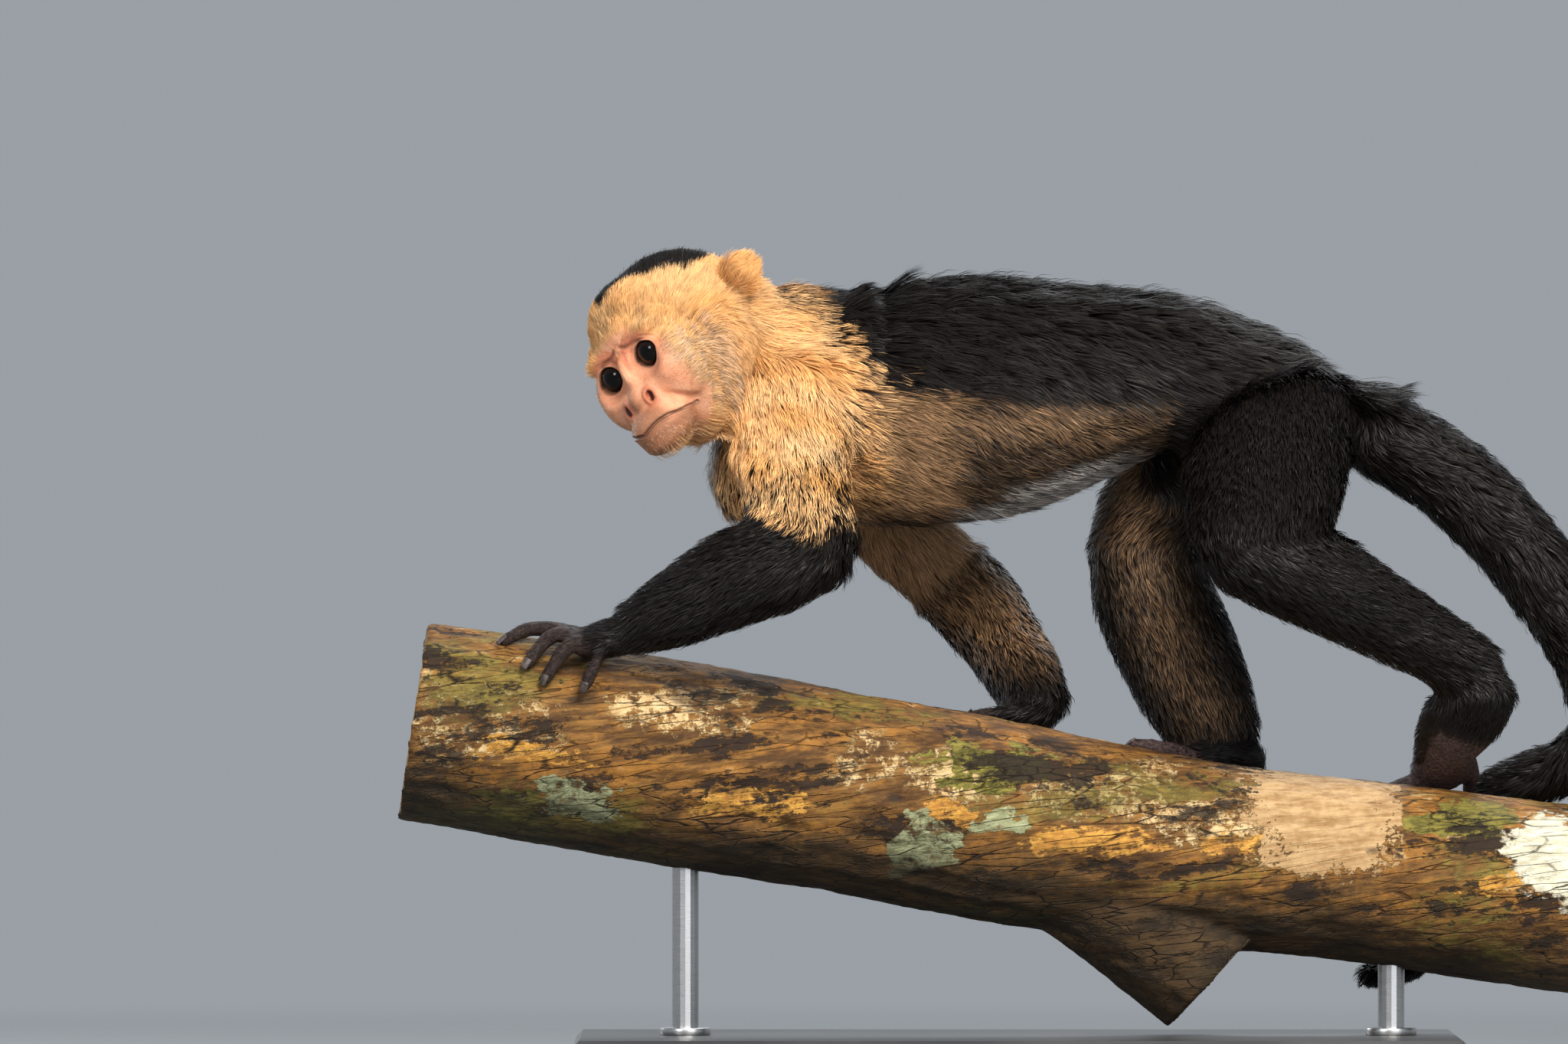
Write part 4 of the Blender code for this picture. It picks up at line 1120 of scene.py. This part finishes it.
TUFT_PATCH = 0.003  # side of a tuft's patch on the unwrap
ROOT_SUNK = 0.3
LONG_HAIR = 7.5  # a longer one bends in three places, a shorter one in two
LOCKS = {  # how far apart a kind's locks are, how tightly their tips meet, and how uneven the lie is
    "head": (2.2, 0.22, 0.16), "ear": (1.8, 0.15, 0.75), "neck": (2.8, 0.30, 0.22),
    "trunk": (4.6, 0.60, 0.17), "tail": (4.0, 0.50, 0.22), "upper_arm": (3.0, 0.34, 0.20),
    "forearm": (3.0, 0.42, 0.14), "hand": (2.0, 0.25, 0.25),
    "thigh": (3.0, 0.35, 0.12), "shin": (3.0, 0.40, 0.12), "foot": (2.0, 0.25, 0.25),
}
PIECES = {  # how the names of the nodes under each piece begin
    "coat_neck": "neck", "coat_chest": "trunk_chest", "coat_belly": "trunk_belly", "coat_hips": "trunk_hips",
    "coat_tail": "tail",
}
for limb, limb_kinds in (("arm", ("upper_arm", "forearm", "hand")), ("leg", ("thigh", "shin", "foot"))):
    for hand in ("left", "right"):
        PIECES[f"coat_{limb}_{hand}"] = tuple(f"{kind}_{hand}" for kind in limb_kinds)
SHARE = 1.0
random = np.random.default_rng(20)

mesh = skin.data
mesh.calc_loop_triangles()
triangles = read(mesh.loop_triangles, "vertices", 3, np.int64)
triangle_loops = read(mesh.loop_triangles, "loops", 3, np.int64)
triangle_unwrap = read(mesh.uv_layers["OFBake"].data, "uv", 2)[triangle_loops]

# How fast the hide falls away under a hair, from the turn of its normals along the lie.
pairs = edge_pairs(mesh)
forward = (skin_places[pairs[:, 1]] - skin_places[pairs[:, 0]]) / MM
turning = skin_out[pairs[:, 1]] - skin_out[pairs[:, 0]]
tops, bottoms = np.zeros(len(skin_places)), np.full(len(skin_places), 1e-3)
for end in (0, 1):
    heading = skin_lie[pairs[:, end]]
    run = np.sum(forward * heading, axis=1)
    tops += np.bincount(pairs[:, end], run * np.sum(turning * heading, axis=1), len(tops))
    bottoms += np.bincount(pairs[:, end], run * run, len(tops))
bend = np.clip(relaxed(tops / bottoms, pairs, 12), -0.006, 0.035)

skin_kind = np.array(kinds)[skin_owner]
crowd = np.maximum(skin_fields[:, 2], 0)
# No hair on the lids' edges, the lips and the nostrils, or on palms and soles.
local = in_head(skin_places)
oval, centre = near_eye(local)
crowd = crowd * np.where((centre < 13) & (local[:, 0] > 1), smoothstep(oval, 1.3, 1.5), 1)
crowd = crowd * smoothstep(distance_to_line(local, MOUTH), 1.4, 3.0) * smoothstep(pit, 1.2, 2.0)
on_chin = smoothstep(local[:, 2], -35, -38) * (local[:, 0] > -4) * (skin_kind == "head")
crowd = crowd * (1 - 0.6 * bare_end) * (1 - 0.5 * on_chin)
under_hand = is_limb_end & (skin_out[:, 2] < -0.1) & (skin_fields[:, 7] < 0.5)
crowd = np.where(under_hand, crowd * 0.1, crowd)

edges = skin_places[triangles[:, 1:]] - skin_places[triangles[:, :1]]
area = np.linalg.norm(np.cross(edges[:, 0], edges[:, 1]), axis=1) / 2 / MM**2
expected = area * crowd[triangles].mean(axis=1) * SHARE
count = np.floor(expected + random.random(len(expected))).astype(int)
chosen = np.repeat(np.arange(len(triangles)), count)
spread = random.random((len(chosen), 2))
spread = np.where(spread.sum(axis=1, keepdims=True) > 1, 1 - spread, spread)
weights = np.column_stack((1 - spread.sum(axis=1), spread))


def at_roots(values):
    """Values of the hide's corners, at the roots."""
    picked = values[triangles[chosen]]
    return np.einsum("ij,ij...->i...", weights, picked)


root = at_roots(skin_places) / MM
out = unit(at_roots(skin_out))
root_fields = at_roots(skin_fields)
depth, length, width = root_fields[:, 0], root_fields[:, 1], root_fields[:, 3]
# A thin, pale beard hangs from the chin and the jaw's lower edge, and the ears are tousled.
root_local = in_head(root * MM)
root_owner = skin_owner[triangles[chosen, 0]]
root_kind = np.array(kinds)[root_owner]
beard = smoothstep(root_local[:, 2], -36.5, -39.5) * smoothstep(root_local[:, 0], -30, -10)
beard = beard * (root_kind == "head")
depth, length = depth + beard * 2.6, length + beard * 3.5
depth = depth + (root_kind == "ear") * 2.2
lie = at_roots(skin_lie)
curve = at_roots(bend)
root_uv = np.einsum("ij,ijk->ik", weights, triangle_unwrap[chosen])
root_marks = marks_at(root * MM, root_owner, out)
on_head = np.isin(root_owner, head_nodes)
lock_gap, lock_hold, uneven = np.array([LOCKS[kind] for kind in kinds])[root_owner].T

total = len(root)
sleek = smoothstep(root[:, 2], 314, 304) * (root_kind == "trunk")
lock_hold, lock_gap = lock_hold * (1 - 0.55 * sleek), lock_gap * (1 - 0.4 * sleek)
partly = root_marks[:, :3] * (1 - root_marks[:, :3]) * 4
root_marks[:, :3] = np.clip(root_marks[:, :3] + partly * random.normal(0, 0.30, (total, 1)), 0, 1)
lie = lie + uneven[:, None] * np.column_stack([ripple(root, 9.0, seed) for seed in (11, 12, 13)]) * 1.2
lie = lie + uneven[:, None] * np.column_stack([ripple(root, 3.0, seed) for seed in (14, 15, 16)]) * 0.7
lie = lie + 0.10 * random.normal(size=(total, 3))
lie = level(lie, out)
side = np.cross(out, lie)
roll = random.normal(0, 0.38, total)[:, None]
across = side * np.cos(roll) + out * np.sin(roll)
length = length * random.uniform(0.72, 1.12, total)
lift = random.uniform(0.72, 1.04, total)
stray = random.random(total) < 0.035
lift = np.where(stray, random.uniform(1.15, 1.6, total), lift)
sway = random.normal(0, 0.07, total) + 0.10 * ripple(root, 4.0, 21)


def along_hair(share):
    """The middle of each hair at a share of its length."""
    run = (length * share)[:, None]
    rise = depth * lift * (1 - (1 - share) ** 2) - curve * (length * share) ** 2 / 2 - ROOT_SUNK
    return root + lie * run + out * rise[:, None] + side * (sway * length * share**2)[:, None]


# Hairs near one another lean together at the tip.
tips = along_hair(1.0)
hairs_in_lock = lock_gap**2 * np.maximum(root_fields[:, 2], 0.3) * SHARE
leader = ~stray & (random.random(total) < 1 / np.maximum(hairs_in_lock, 1))
leaders = np.flatnonzero(leader)
leader_tree = KDTree(len(leaders))
for index in leaders:
    leader_tree.insert(root[index], index)
leader_tree.balance()
lock = np.array([leader_tree.find(place)[1] for place in root])
to_lock = tips[lock] - tips
pull = to_lock * lock_hold[:, None]
pull *= np.minimum(1, 1.2 * length / np.maximum(np.linalg.norm(to_lock, axis=1), 1e-6) / 2)[:, None]
lock_shade = random.random(total)[lock]
hair_shade = random.random(total) - 0.22 * on_head

hair, shader, place = new_finish("hair", 0.42, Specular_IOR_Level=0.20)
cream, grey, tan, warm = (colour_at(place, "marks", index) for index in range(4))
along, shade, lock_value = (colour_at(place, "tuft", index) for index in range(3))
colour = coat_colour(place, cream, grey, tan, warm, along.math("POWER", along, 0.8))
brightness = 0.70 + shade * 0.45 + (lock_value - 0.5) * 0.35
value = place.make("HueSaturation", {}, {"Color": colour, "Value": brightness})
wire_in(shader, Base_Color=value, Roughness=0.42 + cream * 0.2 + shade * 0.1)

TUFT_ROWS = {2: (0.0, 0.5), 3: (0.0, 0.34, 0.70)}  # where a tuft has two corners; the last corner is its tip
TUFT_SHAPE = {0.0: 0.75, 0.34: 1.0, 0.5: 0.9, 0.70: 0.72}  # its width there, as a share of the widest


def tuft_triangles(rows):
    """The corners of one tuft's triangles, a left and a right corner to each row and then the tip."""
    made = []
    for row in range(rows - 1):
        left, right = 2 * row, 2 * row + 1
        made += [(left, left + 2, right + 2), (left, right + 2, right)]
    return np.array(made + [(2 * rows - 2, 2 * rows, 2 * rows - 1)])


def tufts(members, rows):
    """Corners, triangles, marks, tuft values and unwrap of some hairs."""
    places, shares, sides = [], [], []
    for share in TUFT_ROWS[rows]:
        middle = along_hair(share)[members] + pull[members] * share**1.4
        half = across[members] * (width[members] * TUFT_SHAPE[share] / 2)[:, None]
        places += [middle - half, middle + half]
        shares, sides = shares + [share] * 2, sides + [0.0, 1.0]
    places.append(tips[members] + pull[members])
    shares, sides = shares + [1.0], sides + [0.5]
    size = len(shares)
    places = np.stack(places, axis=1).reshape(-1, 3) * MM
    faces = (np.arange(len(members))[:, None, None] * size + tuft_triangles(rows)).reshape(-1, 3)
    marks = np.repeat(root_marks[members], size, axis=0)
    values = np.column_stack((
        np.tile(shares, len(members)), np.repeat(hair_shade[members], size),
        np.repeat(lock_shade[members], size), np.ones(len(members) * size),
    ))
    patch = (np.column_stack((sides, shares)) - 0.5) * TUFT_PATCH
    places_uv = (root_uv[members][:, None] + patch).reshape(-1, 2)
    return places, faces, marks, values, places_uv


def build_coat(name, members):
    """One mesh of all the tufts rooted in some nodes."""
    long = length[members] > LONG_HAIR
    parts = [tufts(members[long], 3), tufts(members[~long], 2)]
    starts = (0, len(parts[0][0]))
    faces = np.concatenate([part[1] + start for part, start in zip(parts, starts)])
    places, marks, values, places_uv = (np.concatenate([part[k] for part in parts]) for k in (0, 2, 3, 4))
    mesh = bpy.data.meshes.new(name)
    mesh.vertices.add(len(places))
    mesh.vertices.foreach_set("co", places.astype(np.float32).ravel())
    mesh.loops.add(faces.size)
    mesh.loops.foreach_set("vertex_index", faces.astype(np.int32).ravel())
    mesh.polygons.add(len(faces))
    mesh.polygons.foreach_set("loop_start", np.arange(0, faces.size, 3, dtype=np.int32))
    mesh.polygons.foreach_set("use_smooth", np.ones(len(faces), bool))
    mesh.update(calc_edges=True)
    store(mesh, "marks", "FLOAT_COLOR", marks)
    store(mesh, "tuft", "FLOAT_COLOR", values)
    layer = mesh.uv_layers.new(name="OFBake")
    layer.data.foreach_set("uv", places_uv[faces.ravel()].astype(np.float32).ravel())
    piece = bpy.data.objects.new(name, mesh)
    bpy.context.collection.objects.link(piece)
    dress(piece, hair)
    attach(piece, "root")


build_coat("coat_crown", np.flatnonzero(on_head & (root_local[:, 2] > 8)))
build_coat("coat_cheeks", np.flatnonzero(on_head & (root_local[:, 2] <= 8)))
for name, kinds_here in PIECES.items():
    members_here = [index for index, node in enumerate(flesh) if node.startswith(kinds_here)]
    build_coat(name, np.flatnonzero(np.isin(root_owner, members_here)))

# ---- Floor and lights ----------------------------------------------------------------------------
# A pale studio: the floor fades into the plain surroundings, so that it looks the same from any side.

FLOOR_SOLID, FLOOR_GONE = 0.45, 1.7
bpy.ops.object.select_all(action="DESELECT")
bpy.ops.mesh.primitive_circle_add(vertices=128, radius=4.0, fill_type="TRIFAN", location=(0, 0, -0.0002))
floor = bpy.context.object
floor.name = "floor"
bpy.ops.object.transform_apply(location=True)
floor_paint, shader, place = new_finish("studio_floor", 0.75)
radius = place.part(0) * place.part(0) + place.part(1) * place.part(1)
radius = radius.math("SQRT", radius)
shader.inputs["Base Color"].default_value = (0.19, 0.20, 0.21, 1.0)
wire_in(shader, Alpha=radius.rise(FLOOR_GONE, FLOOR_SOLID))
dress(floor, floor_paint)

world = bpy.data.worlds.new("studio")
world.use_nodes = True
world.node_tree.nodes["Background"].inputs["Color"].default_value = (0.70, 0.76, 0.82, 1.0)
world.node_tree.nodes["Background"].inputs["Strength"].default_value = 0.46
scene = bpy.context.scene
scene.world = world

LIGHTS = [  # place, target, size, watts, colour
    ("key", (0.34, -1.35, 1.35), (-0.12, 0.0, 0.28), 0.65, 46.0, (1.0, 0.94, 0.85)),
    ("sparkle", (-0.95, -1.50, 0.75), (-0.17, -0.05, 0.32), 0.42, 9.0, (1.0, 1.0, 1.0)),
    ("fill", (0.9, -1.9, 0.5), (0.0, 0.0, 0.25), 1.2, 9.0, (0.90, 0.95, 1.0)),
    ("rim", (0.25, 1.1, 1.35), (0.0, 0.0, 0.30), 0.8, 15.0, (0.93, 0.97, 1.0)),
    ("rim_low", (-0.9, 0.9, 0.6), (-0.1, 0.0, 0.25), 0.6, 5.0, (0.93, 0.97, 1.0)),
]
for name, where, target, size, watts, colour in LIGHTS:
    aim = (Vector(target) - Vector(where)).to_track_quat("-Z", "Y").to_euler()
    bpy.ops.object.select_all(action="DESELECT")
    bpy.ops.object.light_add(type="AREA", location=where, rotation=aim)
    light = bpy.context.object
    light.name = name
    light.data.size, light.data.energy, light.data.color = size, watts, colour
scene.cycles.max_bounces = 5
scene.cycles.diffuse_bounces = 3
scene.cycles.glossy_bounces = 2
scene.cycles.adaptive_threshold = 0.04
scene.cycles.caustics_reflective = False
scene.cycles.caustics_refractive = False
scene.view_settings.view_transform = "Standard"
scene.view_settings.look = "None"
